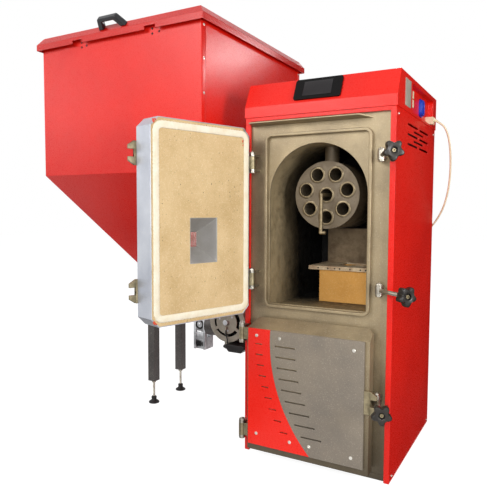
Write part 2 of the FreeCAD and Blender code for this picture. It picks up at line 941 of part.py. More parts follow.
def tube_centres():
    """The centre tube and the ring of tubes around it, as (x, z)."""
    places = [(dim(0), drum_level)]
    count = round(s.ring_tubes.value)
    for i in range(count):
        angle = 2 * math.pi * i / count - math.pi / 2
        places.append((s.tube_ring * math.cos(angle), drum_level + s.tube_ring * math.sin(angle)))
    return places


def make_bundle():
    """Drum with two tube plates, the fire tubes and the riser to the crown."""
    holes = [circle(x, z, s.tube_radius + s.seat_gap) for x, z in tube_centres()]
    skin = s.drum_radius - s.drum_wall
    rim = circle(0, drum_level, s.drum_radius)
    drum = prism("drum", "XZ", [rim, circle(0, drum_level, skin)], drum_face, firebox_back)
    for low in (drum_face, firebox_back - s.drum_plate):
        pad(drum, "XZ", [rim] + holes, low, low + s.drum_plate)
    riser_y = drum_face + s.riser_setback
    firebox = firebox_back - plate_back
    blank = rod("riser_blank", "Z", (0, riser_y, drum_level), s.riser_radius, arch_spring - drum_level
                + s.firebox_half + s.riser_radius)
    vault = rod("riser_vault", "Y", (0, plate_back, arch_spring), s.firebox_half - s.seat_gap, firebox)
    saddle = rod("riser_saddle", "Y", (0, plate_back, drum_level), s.drum_radius + s.seat_gap, firebox)
    trimmed = add("Part::Common", "riser_trimmed")
    trimmed.Base = blank
    trimmed.Tool = vault
    riser = cut("riser", trimmed, [saddle])
    node("exchanger_drum", group("drum_group", [drum, riser]))

    start = drum_face - s.tube_proud
    length = firebox_back - start
    tubes = []
    for i, (x, z) in enumerate(tube_centres()):
        tubes.append(pipe(f"fire_tube_{i}", "Y", (x, start, z), s.tube_radius, s.tube_wall, length))
    node("fire_tubes", group("tubes", tubes))


def make_cleaning_rod():
    """Pull rod of the centre tube's scraper, with a bent grip at the front."""
    tip = drum_face - s.rod_reach
    shaft = rod("rod_shaft", "Y", (0, tip, drum_level), s.rod_radius, s.rod_length)
    grip = rod("rod_grip", "Z", (0, tip, drum_level - s.rod_drop), s.rod_radius, s.rod_drop)
    hook = rod("rod_hook", "X", (0, tip, drum_level - s.rod_drop), s.rod_radius, s.rod_hook)
    pieces = [shaft, grip, hook]
    for i, level in enumerate((drum_level, drum_level - s.rod_drop)):
        knee = add("Part::Sphere", f"rod_knee_{i}")
        bind(knee, "Radius", s.rod_knee)
        pieces.append(move(knee, 0, tip, level))
    end = tip + s.rod_length
    for i in range(2):
        place = end - s.scraper_gauge * (i + 1) - s.scraper_pitch * i
        radius = s.tube_radius - s.tube_wall - s.scraper_gap
        pieces.append(rod(f"rod_scraper_{i}", "Y", (0, place, drum_level), radius, s.scraper_gauge))
    node("cleaning_rod", fuse("rod_fuse", pieces))


# Burner and ash pan

def make_burner():
    """Retort elbow with its flange, the lining boards around it and the rear baffle."""
    right = s.firebox_half
    y = (burner_face, burner_rear)
    hole_x = (s.retort_centre - s.retort_length / 2, s.retort_centre + s.retort_length / 2)
    hole_y = (feeder_axis - s.retort_width / 2, feeder_axis + s.retort_width / 2)
    flange_top = flange_bottom + s.flange_gauge
    flange = prism("burner_flange", "XY", [rectangle((-s.flange_left, right), y), rectangle(hole_x, hole_y)],
                   flange_bottom, flange_top)
    pad(flange, "XY", [rectangle((-s.flange_left, right), (y[0] - s.flange_gauge, y[0]))],
        flange_top - s.flange_lip, flange_top)

    elbow = add("PartDesign::Body", "retort")
    ring = [circle(feeder_axis, s.burner_level, s.pipe_radius),
            circle(feeder_axis, s.burner_level, s.pipe_radius - s.pipe_wall)]
    profile = sketch_on(elbow, "YZ", ring, -s.firebox_half)
    bend_x = s.retort_centre - s.bend_radius
    bend_z = s.burner_level + s.bend_radius
    spine = elbow.newObject("Sketcher::SketchObject", "retort_spine")
    spine.AttachmentSupport = [([f for f in elbow.Origin.OriginFeatures if f.Role == "XZ_Plane"][0], "")]
    spine.MapMode = "FlatFace"
    bind(spine, "AttachmentOffset.Base.z", -feeder_axis)
    start, entry = (-s.firebox_half, s.burner_level), (bend_x, s.burner_level)
    leave, end = (s.retort_centre, bend_z), (s.retort_centre, flange_bottom)
    spine.addGeometry(Part.LineSegment(vector(start), vector(entry)), False)
    arc_between(spine, (bend_x, bend_z), entry, leave)
    spine.addGeometry(Part.LineSegment(vector(leave), vector(end)), False)
    spine.addConstraint(Sketcher.Constraint("Coincident", 0, 2, 1, 1))
    spine.addConstraint(Sketcher.Constraint("Coincident", 1, 2, 2, 1))
    pin_point(spine, 0, 1, *start)
    pin_point(spine, 0, 2, *entry)
    pin_point(spine, 2, 1, *leave)
    pin_point(spine, 2, 2, *end)
    pin_point(spine, 1, 3, bend_x, None)
    sweep = elbow.newObject("PartDesign::AdditivePipe", "retort_pipe")
    sweep.Profile = profile
    sweep.Spine = spine
    node("burner_retort", group("retort_group", [flange, elbow]))

    z = (s.firebox_floor, flange_bottom)
    gauge = s.board_gauge
    inside = (y[0] + gauge, y[1] - gauge)
    boards = [
        box("board_front", (-s.burner_left, right), (y[0], inside[0]), z),
        box("board_rear", (-s.burner_left, right), (inside[1], y[1]), z),
        box("board_left", (-s.burner_left, gauge - s.burner_left), inside, z),
        box("board_right", (right - gauge, right), inside, z)]
    node("burner_boards", group("boards", boards))
    node("rear_baffle", box("baffle", (-s.baffle_left, right), (y[1] - s.baffle_gauge, y[1]),
                            (flange_top, drum_level - s.drum_radius - s.baffle_gap)))


def make_ash_pan():
    low = s.base_height + s.vessel_floor
    y = (plate_back + s.pan_inset, firebox_back - s.pan_rear)
    pan = box("pan_block", (-s.pan_half, s.pan_half), y, (low, low + s.pan_height))
    inside = s.pan_half - s.pan_gauge
    hollow = box("pan_hollow", (-inside, inside), (y[0] + s.pan_gauge, y[1] - s.pan_gauge),
                 (low + s.pan_gauge, low + s.pan_height))
    node("ash_pan", cut("pan", pan, [hollow]))


def stub(name, x, level, radius, wall, reach):
    """A pipe out of the jacket: a slimmer neck through the rear panel, then the length that is fitted."""
    shoulder, end = back + s.neck_out, back + reach
    neck = rod(name + "_neck", "Y", (x, vessel_back, level), radius - s.neck_step, shoulder - vessel_back)
    spigot = rod(name + "_spigot", "Y", (x, shoulder, level), radius, end - shoulder)
    bore = rod(name + "_bore", "Y", (x, vessel_back, level), radius - wall, end - vessel_back)
    return cut(name, fuse(name + "_solid", [neck, spigot]), [bore])


def make_connections():
    """Flue spigot and the flow and return nipples."""
    rim = s.flue_bore + s.flue_flange
    flange = pipe("flue_flange", "Y", (0, vessel_back, drum_level), rim, rim - s.flue_radius + s.flue_wall,
                  s.flange_gauge)
    node("flue_spigot", fuse("flue_outlet", [
        stub("flue", dim(0), drum_level, s.flue_radius, s.flue_wall, s.flue_reach), flange]))
    nipples = []
    for name, level in (("flow", flow_level), ("return", s.return_level)):
        nipples.append(stub("nipple_" + name, nipple_side, level, s.nipple_radius, s.nipple_wall,
                            s.nipple_reach))
    node("water_nipples", group("nipples", nipples))


# Hinges and forks, shared by both doors

def lugs(name, place, gap, root):
    """Two lugs and a pin around a gap, standing out from a face at y = root."""
    x, y, level = place
    clear = gap / 2 + s.slide_gap
    pieces = [rod(name + "_pin", "Z", (x, y, level - clear - s.lug_gauge), s.pin_radius,
                  (clear + s.lug_gauge) * 2)]
    for side, part in ((-1, "lower"), (1, "upper")):
        z = span(level + clear * side, level + (clear + s.lug_gauge) * side)
        pieces.append(box(f"{name}_{part}_lug", (x - s.barrel_radius, x + s.barrel_radius), (y, root), z))
        pieces.append(rod(f"{name}_{part}_eye", "Z", (x, y, z[0]), s.barrel_radius, s.lug_gauge))
    return fuse(name, pieces)


def hinge_knuckle(name, level, inset):
    """A barrel on the hinge axis and its arm to the door's edge, in the door's own frame."""
    low = level - s.barrel_height / 2
    barrel = rod(name + "_barrel", "Z", (0, 0, low), s.barrel_radius, s.barrel_height)
    arm = box(name + "_arm", (dim(0), inset), (-(s.arm_gauge / 2), s.arm_gauge / 2),
              (low, low + s.barrel_height))
    bore = rod(name + "_bore", "Z", (0, 0, low), s.pin_radius + s.turn_gap, s.barrel_height)
    return cut(name, fuse(name + "_solid", [barrel, arm]), [bore])


def rope_ring(x, z):
    """Outer and inner outlines of a rope seal."""
    width = s.rope_width
    return [
        rounded(x, z, s.rope_corner),
        rounded((x[0] + width, x[1] - width), (z[0] + width, z[1] - width), s.rope_corner - width)]


def latch_fork(name, edge, root, face, level):
    """A strap on the door's outer face with two welded tines that narrow past its free edge."""
    y = (face - s.fork_gauge, face)
    throat, tip = edge + s.fork_throat, edge + s.fork_reach
    outer, slot = s.fork_height / 2, s.fork_slot / 2
    pieces = [box(name + "_strap", (edge - root, throat), y, (level - outer, level + outer))]
    for side, part in ((-1, "low"), (1, "high")):
        tine = polygon([(throat, level + slot * side), (tip, level + slot * side),
                        (tip, level + (outer - s.fork_taper) * side), (throat, level + outer * side)])
        pieces.append(prism(f"{name}_{part}_tine", "XZ", [tine], *y))
    return pieces


# Upper door, drawn closed about its hinge axis and then swung open

upper_x = -(s.door_left + s.hinge_inset)
upper_y = plate_front - s.hinge_reach


def sight_funnel(name, throat, flare, near, far, wall):
    """A window funnel that widens from the glass towards the fire."""
    item = add("Part::Wedge", name)
    bind(item, "Ymin", near)
    bind(item, "Ymax", far)
    for suffix, (x, z) in (("", throat), ("2", flare)):
        bind(item, f"X{suffix}min", x[0] + wall)
        bind(item, f"X{suffix}max", x[1] - wall)
        bind(item, f"Z{suffix}min", z[0] + wall)
        bind(item, f"Z{suffix}max", z[1] - wall)
    return item


def swing_upper(item):
    return turn(item, Z_AXIS, -s.door_angle, upper_x, upper_y, 0)


def make_upper_door():
    u = (s.hinge_inset, s.hinge_inset + s.door_left + s.door_right)
    z = (s.door_bottom, door_top)
    rope_face = lip_front - s.slide_gap - upper_y
    inner_face = rope_face - s.rope_proud
    outer_face = inner_face - s.door_thickness
    skin = s.door_skin
    window_u = u[0] + s.window_side
    glass_half = s.glass_size / 2

    shell = prism("upper_shell", "XZ", [chamfered(u, z, s.door_chamfer)], outer_face, inner_face)
    lining_u = (u[0] + skin, u[1] - skin)
    lining_z = (z[0] + skin, z[1] - skin)
    pocket(shell, "XZ", [chamfered(lining_u, lining_z, s.door_chamfer)], outer_face + skin, inner_face)
    sight = rectangle((window_u - glass_half, window_u + glass_half),
                      (window_level - glass_half, window_level + glass_half))
    pocket(shell, "XZ", [sight], outer_face, outer_face + skin)
    node("upper_door_shell", swing_upper(shell))

    slab = prism("lining", "XZ", [chamfered(lining_u, lining_z, s.door_chamfer)], outer_face + skin,
                 inner_face)
    rope_half = s.lip_half + s.rope_spread
    ring = rope_ring((-upper_x - rope_half, rope_half - upper_x),
                     (s.lip_bottom - s.rope_spread, lip_top + s.rope_spread))
    rope_back = rope_face - s.rope_depth
    pocket(slab, "XZ", ring, rope_back, inner_face)
    flare = [(window_u - s.window_width / 2, window_u + s.window_width / 2),
             (window_level - s.window_height / 2, window_level + s.window_height / 2)]
    throat = [(window_u - glass_half, window_u + glass_half),
              (window_level - glass_half, window_level + glass_half)]
    glass_face = outer_face + skin + s.glass_gauge
    funnel = sight_funnel("funnel", throat, flare, glass_face, inner_face, dim(0))
    pane_u = [(side[0] - s.glass_margin, side[1] + s.glass_margin) for side in throat]
    seat = box("glass_seat", pane_u[0], (outer_face + skin, glass_face), pane_u[1])
    node("upper_door_insulation", swing_upper(cut("lining_cut", slab, [funnel, seat])))

    node("upper_door_rope", swing_upper(prism("upper_rope", "XZ", ring, rope_back, rope_face)))

    outer = sight_funnel("sleeve_outer", throat, flare, glass_face, inner_face, dim(0))
    inner = sight_funnel("sleeve_inner", throat, flare, glass_face, inner_face, s.sleeve_gauge)
    node("sight_sleeve", swing_upper(cut("sleeve", outer, [inner])))
    pane = prism("glass", "XZ", [rectangle(*pane_u)], outer_face + skin, glass_face)
    node("sight_glass", swing_upper(pane))

    fittings = []
    for i, level in enumerate((bolt_high, bolt_middle)):
        fittings += latch_fork(f"upper_fork_{i}", u[1], s.fork_root, outer_face, level)
    for i, level in enumerate((hinge_high, hinge_low)):
        fittings.append(hinge_knuckle(f"upper_knuckle_{i}", level, u[0]))
    node("upper_door_fittings", swing_upper(group("upper_fittings", fittings)))


# Lower door, closed at rest

ash_x = -(s.ash_door_left + s.ash_hinge_inset)
ash_y = front - s.ash_hinge_reach


def make_lower_door():
    x = (-s.ash_door_left, s.ash_door_right)
    z = (s.ash_door_bottom, s.ash_door_top)
    rope_face = lip_front - s.slide_gap
    rope_back = rope_face - s.rope_depth
    inner_face = rope_face - s.rope_proud
    outer_face = inner_face - s.ash_door_thickness
    skin = s.door_skin
    ring = rope_ring((-(s.lip_half + s.rope_spread), s.lip_half + s.rope_spread),
                     (s.ash_lip_bottom - s.rope_spread, s.ash_lip_top + s.rope_spread))

    section = polygon([
        (inner_face, z[0]), (inner_face, z[1]), (outer_face, z[1] - s.ash_door_bevel), (outer_face, z[0])])
    shell = prism("ash_shell", "YZ", [section], *x)
    slant, corner = s.ash_door_slant, s.ash_door_corner
    ends = [polygon([(x[0], z[1]), (x[0] + slant, z[1]), (x[0], z[1] - s.ash_door_bevel)]),
            polygon([(x[1], z[1]), (x[1] - corner, z[1]), (x[1], z[1] - corner)])]
    pocket(shell, "XZ", ends, outer_face, inner_face)
    hollow = rectangle((x[0] + skin, x[1] - skin), (z[0] + skin, z[1] - s.ash_door_bevel - skin))
    pocket(shell, "XZ", [hollow], outer_face + skin, inner_face)
    node("lower_door_shell", pocket(shell, "XZ", ring, rope_back, inner_face))

    slab = prism("ash_lining", "XZ", [hollow], outer_face + skin, inner_face)
    node("lower_door_insulation", pocket(slab, "XZ", ring, rope_back, inner_face))
    node("lower_door_rope", prism("ash_rope", "XZ", ring, rope_back, rope_face))

    make_covers(outer_face)
    root = s.ash_door_right - s.cover_right - s.seat_gap
    fittings = latch_fork("ash_fork", x[1], root, outer_face, s.bolt_low)
    for i, level in enumerate((s.ash_hinge_high, s.ash_hinge_low)):
        fittings.append(move(hinge_knuckle(f"ash_knuckle_{i}", level, s.ash_hinge_inset), ash_x, ash_y, 0))
    node("lower_door_fittings", group("ash_fittings", fittings))


def parting(level):
    """Where the bowed line between the two covers runs at a level."""
    run, fall = s.cover_split_top + s.cover_split_bottom, s.cover_top - s.cover_bottom
    chord = root(run * run + fall * fall)
    reach = s.cover_bow * s.cover_bow
    depth = root(reach - chord * chord / 4)
    middle_x = (s.cover_split_bottom - s.cover_split_top) / 2 + fall / chord * depth
    rise = level - (s.cover_top + s.cover_bottom) / 2 - run / chord * depth
    return middle_x - root(reach - rise * rise)


def make_covers(face):
    """The two trim covers on the lower door, parted along a bowed line with vent slots beside it."""
    high, low = s.cover_top, s.cover_bottom
    covers = (("cover_red", -1, -s.cover_left, s.slot_red_gap, s.slot_red),
              ("cover_grey", 1, s.cover_right, s.slot_grey_gap, s.slot_grey))
    for name, side, edge, gap, length in covers:
        shift = s.seat_gap * side
        outline = bowed([(shift - s.cover_split_top, high), (edge, high), (edge, low),
                         (s.cover_split_bottom + shift, low)], s.cover_bow)
        sheet_body = prism(name + "_sheet", "XZ", [outline], face - s.cover_gauge, face)
        slots = []
        for row in range(round(s.slot_rows.value)):
            level = s.slot_low + s.slot_pitch * row
            near = parting(level) + gap * side
            slots.append(rectangle(span(near, near + length * side),
                                   (level - s.slot_height / 2, level + s.slot_height / 2)))
        node(name, pocket(sheet_body, "XZ", slots, face - s.cover_gauge, face))


# Brackets and swing bolts

def make_brackets():
    """Hinge brackets and swing-bolt clevises on the boiler's front."""
    gap = s.barrel_height
    pieces = [
        lugs("hinge_high", (upper_x, upper_y, hinge_high), gap, plate_front),
        lugs("hinge_low", (upper_x, upper_y, hinge_low), gap, plate_front),
        lugs("ash_hinge_high", (ash_x, ash_y, s.ash_hinge_high), gap, front),
        lugs("ash_hinge_low", (ash_x, ash_y, s.ash_hinge_low), gap, front)]
    for name, level in (("top", bolt_high), ("middle", bolt_middle), ("lower", s.bolt_low)):
        pieces.append(lugs("clevis_" + name, (bolt_axis_x, bolt_axis_y, level), s.eye_height, plate_front))
    node("door_brackets", group("brackets", pieces))


def make_bolt(name, level, angle):
    """An eye bolt drawn along -Y from its pivot, and the star knob on its end."""
    eye = rod(f"eye_{name}", "Z", (0, 0, -(s.eye_height / 2)), s.eye_radius, s.eye_height)
    shank = rod(f"shank_{name}", "Y", (0, -s.bolt_length, 0), s.bolt_radius, s.bolt_length)
    bore = rod(f"eye_bore_{name}", "Z", (0, 0, -(s.eye_height / 2)), s.pin_radius + s.turn_gap, s.eye_height)
    bolt = cut(f"bolt_{name}", fuse(f"bolt_solid_{name}", [eye, shank]), [bore])
    node(f"eyebolt_{name}", turn(bolt, Z_AXIS, angle, bolt_axis_x, bolt_axis_y, level))

    star = -(s.knob_reach + s.knob_hub_height + s.knob_height)
    pieces = [
        rod(f"knob_hub_{name}", "Y", (0, star + s.knob_height, 0), s.knob_hub, s.knob_hub_height),
        rod(f"knob_core_{name}", "Y", (0, star, 0), s.knob_core, s.knob_height)]
    for i in range(5):
        lobe = 2 * math.pi * i / 5 + math.pi / 2
        place = (s.knob_ring * math.cos(lobe), star, s.knob_ring * math.sin(lobe))
        pieces.append(rod(f"knob_lobe_{name}_{i}", "Y", place, s.knob_lobe, s.knob_height))
    depth = s.bolt_length + s.slide_gap
    thread = rod(f"knob_bore_{name}", "Y", (0, -depth, 0), s.bolt_radius + s.turn_gap, depth - s.knob_reach)
    knob = cut(f"star_{name}", fuse(f"star_solid_{name}", pieces), [thread])
    node(f"knob_{name}", turn(knob, Z_AXIS, angle, bolt_axis_x, bolt_axis_y, level))


# Hopper

body_right = -(half + s.hopper_gap)
body_left = body_right - s.hopper_width
body_front = s.hopper_centre - s.hopper_depth / 2
body_back = s.hopper_centre + s.hopper_depth / 2
body = (body_left, body_right, body_front, body_back)
hopper_middle = (body_left + body_right) / 2
rim_top = s.hopper_rim + s.rim_height
lid_base = rim_top + s.slide_gap
outlet_x = (-(s.outlet_right + s.outlet_width), -s.outlet_right)
outlet = (*outlet_x, feeder_axis - s.outlet_depth / 2, feeder_axis + s.outlet_depth / 2)
lid_axis_y = body_back + s.rim_overhang + s.lid_pin_out
lid_axis_z = rim_top + s.lid_pin_rise


def inset(area, amount):
    """A plan rectangle (x0, x1, y0, y1) made smaller on all sides."""
    return (area[0] + amount, area[1] - amount, area[2] + amount, area[3] - amount)


def corners(area):
    x0, x1, y0, y1 = area
    return [(x0, y0), (x1, y0), (x1, y1), (x0, y1)]


def mitred(name, frame, outer, inner, level):
    """The four sides of a hollow frame, parted along the lines between two rectangles' corners."""
    far, near = corners(outer), corners(inner)
    pieces = []
    for i, side in enumerate(("front", "right", "rear", "left")):
        j = (i + 1) % 4
        zone = prism(f"{name}_zone_{side}", "XY", [polygon([far[i], far[j], near[j], near[i]])], *level)
        piece = add("Part::Common", f"{name}_{side}")
        piece.Base = frame
        piece.Tool = zone
        pieces.append(piece)
    return pieces


def make_hopper():
    """Four wall sheets above four sloped sheets that meet at the hips."""
    gauge = s.hopper_gauge
    z = (s.hopper_knee, rim_top - s.rim_gauge)
    inside = inset(body, gauge)
    walls = [
        box("wall_front", (body_left, body_right), (body_front, inside[2]), z),
        box("wall_rear", (body_left, body_right), (inside[3], body_back), z),
        box("wall_left", (body_left, inside[0]), inside[2:], z),
        box("wall_right", (inside[1], body_right), inside[2:], z)]
    node("hopper_walls", group("walls", walls))

    level = (s.outlet_level, s.hopper_knee)
    cone = cut("cone", frustum("cone_outer", outlet, body, level),
               [frustum("cone_inner", inset(outlet, gauge), inside, level)])
    node("hopper_slopes", group("slopes", mitred("slope", cone, body, inset(outlet, gauge), level)))


def make_rim():
    """Folded rim around the hopper's mouth with two latch notches, and the fixed hinge knuckles."""
    gauge = s.rim_gauge
    outer = inset(body, -s.rim_overhang)
    inner = inset(body, s.hopper_gauge)
    level = (s.hopper_rim, rim_top)
    fold = prism("rim_fold", "XY", [polygon(corners(outer)), polygon(corners(inset(outer, gauge)))], *level)
    pad(fold, "XY", [polygon(corners(outer)), polygon(corners(inner))], rim_top - gauge, rim_top)
    notches = []
    for side in (-1, 1):
        middle = hopper_middle + s.notch_offset * side
        notches.append(rectangle((middle - s.notch_width / 2, middle + s.notch_width / 2),
                                 (s.hopper_rim, s.hopper_rim + s.notch_height)))
    pocket(fold, "XZ", notches, outer[2], outer[2] + gauge)
    pieces = mitred("rim", fold, outer, inner, level)
    for side, name in ((-1, "left"), (1, "right")):
        pieces.append(lid_pivot(name, hopper_middle + s.lid_hinge_offset * side, outer[3]))
    node("hopper_rim", group("rim", pieces))


def lid_pivot(name, middle, face):
    """The pin of one lid hinge between two knuckles that stand on the rim's rear face."""
    clear = s.lid_knuckle / 2 + s.slide_gap
    pieces = [rod(f"lid_pin_{name}", "X", (middle - clear - s.lid_knuckle, lid_axis_y, lid_axis_z),
                  s.lid_pin_radius, (clear + s.lid_knuckle) * 2)]
    low = rim_top - s.lid_barrel / 2
    for side, part in ((-1, "a"), (1, "b")):
        x = span(middle + clear * side, middle + (clear + s.lid_knuckle) * side)
        pieces.append(rod(f"lid_knuckle_{name}_{part}", "X", (x[0], lid_axis_y, lid_axis_z), s.lid_barrel,
                          s.lid_knuckle))
        pieces.append(box(f"lid_foot_{name}_{part}", x, (face, lid_axis_y + s.lid_barrel),
                          (low - s.lid_barrel * 2, low)))
        pieces.append(box(f"lid_neck_{name}_{part}", x, (lid_axis_y - s.lid_pin_radius, lid_axis_y + s.lid_barrel),
                          (low, lid_axis_z)))
    return fuse("lid_pivot_" + name, pieces)


def make_lid():
    """Folded lid with bevelled edges, its two hinge barrels and the grip on its front bevel."""
    low = inset(body, -s.rim_overhang)
    high = inset(low, s.lid_inset)
    gauge = s.lid_gauge
    top = lid_base + s.lid_height
    outer = frustum("lid_outer", low, high, (lid_base, top))
    inner = frustum("lid_inner", inset(low, gauge), inset(high, gauge), (lid_base, top - gauge))
    pieces = [cut("lid_fold", outer, [inner])]
    bores = []
    for side, name in ((-1, "left"), (1, "right")):
        middle = hopper_middle + s.lid_hinge_offset * side
        x = (middle - s.lid_knuckle / 2, middle + s.lid_knuckle / 2)
        pieces.append(rod(f"lid_barrel_{name}", "X", (x[0], lid_axis_y, lid_axis_z), s.lid_barrel, s.lid_knuckle))
        pieces.append(box(f"lid_strap_{name}", x, (low[3] - gauge * 2, lid_axis_y),
                          (lid_base, lid_base + s.lid_barrel - gauge)))
        bores.append(rod(f"lid_bore_{name}", "X", (x[0], lid_axis_y, lid_axis_z), s.lid_pin_radius + s.turn_gap,
                         s.lid_knuckle))
    node("hopper_lid", cut("lid", fuse("lid_solid", pieces), bores))

    base, rise, slant = s.handle_length / 2, s.handle_height, s.handle_slant
    foot, bar = base - s.handle_foot, s.handle_bar
    under = foot - slant * ((s.handle_height - bar).value / s.handle_height.value)
    bow = polygon([
        (-base, dim(0)), (slant - base, rise), (base - slant, rise), (base, dim(0)),
        (foot, dim(0)), (under, rise - bar), (-under, rise - bar), (-foot, dim(0))])
    grip = prism("grip", "XZ", [bow], -(s.handle_width / 2), s.handle_width / 2)
    node("lid_handle", turn(grip, X_AXIS, slope_angle(s.lid_height, s.lid_inset), hopper_middle,
                            low[2] + s.lid_inset / 2, lid_base + s.lid_height / 2))


def make_legs():
    """Two square legs under the trough's outer end, on levelling feet."""
    x = (outlet_x[0] - s.leg_size, outlet_x[0])
    wall = s.leg_wall
    tubes = []
    feet = []
    for side, name in ((-1, "front"), (1, "rear")):
        middle = feeder_axis + s.leg_spacing / 2 * side
        y = (middle - s.leg_size / 2, middle + s.leg_size / 2)
        outer = box("leg_" + name, x, y, (s.leg_bottom, s.outlet_level))
        inner = box("leg_hollow_" + name, (x[0] + wall, x[1] - wall), (y[0] + wall, y[1] - wall),
                    (s.leg_bottom + wall, s.outlet_level))
        tubes.append(cut("leg_tube_" + name, outer, [inner]))
        place = ((x[0] + x[1]) / 2, middle)
        feet.append(fuse("foot_" + name, [
            rod("foot_pad_" + name, "Z", (*place, 0), s.foot_radius, s.foot_rim),
            cone("foot_flare_" + name, (*place, s.foot_rim), s.foot_radius, s.foot_neck,
                 s.foot_height - s.foot_rim),
            rod("foot_collar_" + name, "Z", (*place, s.foot_height), s.foot_neck, s.foot_collar),
            rod("foot_spindle_" + name, "Z", (*place, s.foot_height), s.spindle_radius,
                s.leg_bottom - s.foot_height)]))
    node("hopper_legs", group("legs", tubes))
    node("hopper_feet", group("feet", feet))


# Feeder

TURN_STEPS = 16
feed_face = outlet_x[0]
feed_start = feed_face + s.end_plate
burner_start = -s.burner_pipe_end
wall_mouth = -s.firebox_half


def trough_section(name, x, wall):
    """The trough between two levels of x, inset by a wall: tapered sides over a round bottom."""
    wide = s.outlet_depth / 2 - wall
    narrow = s.pipe_radius - wall
    points = [(feeder_axis + narrow, s.feed_level), (feeder_axis + wide, s.outlet_level),
              (feeder_axis - wide, s.outlet_level), (feeder_axis - narrow, s.feed_level)]

    def draw(sketch):
        for start, end in zip(points, points[1:]):
            sketch.addGeometry(Part.LineSegment(vector(start), vector(end)), False)
        bottom = arc_between(sketch, (feeder_axis, s.feed_level), points[3], points[0])
        for edge in (0, 1):
            sketch.addConstraint(Sketcher.Constraint("Coincident", edge, 2, edge + 1, 1))
        sketch.addConstraint(Sketcher.Constraint("Coincident", bottom, 1, 2, 2))
        sketch.addConstraint(Sketcher.Constraint("Coincident", bottom, 2, 0, 1))
        for edge in range(3):
            pin_point(sketch, edge, 1, *points[edge])
        pin_point(sketch, 2, 2, *points[3])
        pin_point(sketch, bottom, 3, None, s.feed_level)

    return prism(name, "YZ", [draw], *x)


def make_feeder():
    """Trough under the hopper, and the tubes that drop from it to the burner."""
    y = feeder_axis
    wall = s.pipe_wall
    bore = s.pipe_radius - wall
    shaft = s.auger_shaft + s.turn_gap
    high, low = s.feed_level, s.burner_level
    reach = s.outlet_depth / 2 + s.plate_overlap
    trough = fuse("trough_solid", [
        box("feed_plate", (feed_face, feed_start), (y - reach, y + reach),
            (high - s.pipe_radius - s.end_plate, s.outlet_level)),
        trough_section("trough_outer", outlet_x, dim(0))])
    trough_end = outlet_x[1] - wall
    trough_hollows = [
        trough_section("trough_inner", (feed_start, trough_end), wall),
        rod("trough_mouth", "X", (trough_end, y, high), bore - wall, wall),
        rod("feed_shaft_hole", "X", (feed_face, y, high), shaft, s.end_plate)]
    tubes = fuse("tube_solid", [
        rod("feed_tube", "X", (outlet_x[1], y, high), s.pipe_radius, -s.feed_end - outlet_x[1]),
        rod("chute", "Z", (-s.chute_centre, y, low), s.chute_radius, high - low),
        rod("burner_tube", "X", (burner_start, y, low), s.pipe_radius, wall_mouth - burner_start)])
    tube_hollows = [
        rod("feed_bore", "X", (outlet_x[1], y, high), bore, -s.feed_end - wall - outlet_x[1]),
        rod("chute_bore", "Z", (-s.chute_centre, y, low), s.chute_radius - wall, high - low),
        rod("burner_bore", "X", (burner_start + s.end_plate, y, low), bore,
            wall_mouth - burner_start - s.end_plate),
        rod("burner_shaft_hole", "X", (burner_start, y, low), shaft, s.end_plate)]
    node("feed_trough", group("feed_casing", [
        cut("trough", trough, trough_hollows), cut("feed_tubes", tubes, tube_hollows)]))


def make_auger(name, start, end, level):
    """A screw drawn along Z and laid along X: one turn of its flight repeated along the shaft."""
    tail = s.auger_gap + s.end_plate + s.gear_head - s.slide_gap
    screw = prism(name + "_screw", "XY", [circle(0, 0, s.auger_shaft)], -tail, end - start)
    sections = []
    for step in range(TURN_STEPS + 1):
        section = screw.newObject("Sketcher::SketchObject", f"{name}_section_{step}")
        lay = FreeCAD.Rotation(Z_AXIS, 360 * step / TURN_STEPS) * FreeCAD.Rotation(X_AXIS, 90)
        section.Placement = FreeCAD.Placement(FreeCAD.Vector(), lay)
        bind(section, "Placement.Base.z", s.auger_pitch * (step / TURN_STEPS))
        rectangle((s.auger_shaft - s.auger_gauge, s.auger_radius), (dim(0), s.auger_gauge))(section)
        sections.append(section)
    flight = screw.newObject("PartDesign::AdditiveLoft", name + "_flight")
    flight.Profile = sections[0]
    flight.Sections = sections[1:]
    flight.Ruled = True
    turns = int((end - start - s.auger_gauge).value / s.auger_pitch.value)
    rows = screw.newObject("PartDesign::LinearPattern", name + "_turns")
    rows.Originals = [flight]
    rows.Direction = ([item for item in screw.Origin.OriginFeatures if item.Role == "Z_Axis"][0], [""])
    bind(rows, "Length", s.auger_pitch * (turns - 1))
    rows.Occurrences = turns
    screw.Tip = rows
    node(name, turn(screw, Y_AXIS, 90, start, feeder_axis, level))


def gear_motor(name, face, level):
    """An open-framed gear motor hung from an auger's end plate."""
    y = feeder_axis
    wide = s.gear_width / 2
    head = (face - s.gear_head, face)
    drop = level - s.motor_drop
    core = s.motor_core / 2
    solid = fuse(name + "_solid", [
        box(name + "_head", head, (y - wide, y + wide), (level - wide, level + wide)),
        rod(name + "_boss", "X", (head[0] - s.boss_height, y, level), s.gear_boss, s.boss_height),
        box(name + "_rail_front", head, (y - wide, y - wide + s.motor_rail), (drop, level - wide)),
        box(name + "_rail_rear", head, (y + wide - s.motor_rail, y + wide), (drop, level - wide)),
        box(name + "_coil", (face - s.gear_length, face), (y - core, y + core), (drop, drop + s.motor_core))])
    socket = rod(name + "_socket", "X", (head[0], y, level), s.auger_shaft + s.turn_gap, s.gear_head)
    return cut(name, solid, [socket])


def make_drives():
    """Both augers with their gear motors."""
    make_auger("feed_auger", feed_start + s.auger_gap, -s.feed_end - s.pipe_wall - s.auger_gap, s.feed_level)
    make_auger("burner_auger", burner_start + s.end_plate + s.auger_gap,
               s.retort_centre - s.bend_radius - s.auger_gap, s.burner_level)
    node("gear_motors", group("motors", [
        gear_motor("feed_motor", feed_face, s.feed_level),
        gear_motor("burner_motor", burner_start, s.burner_level)]))


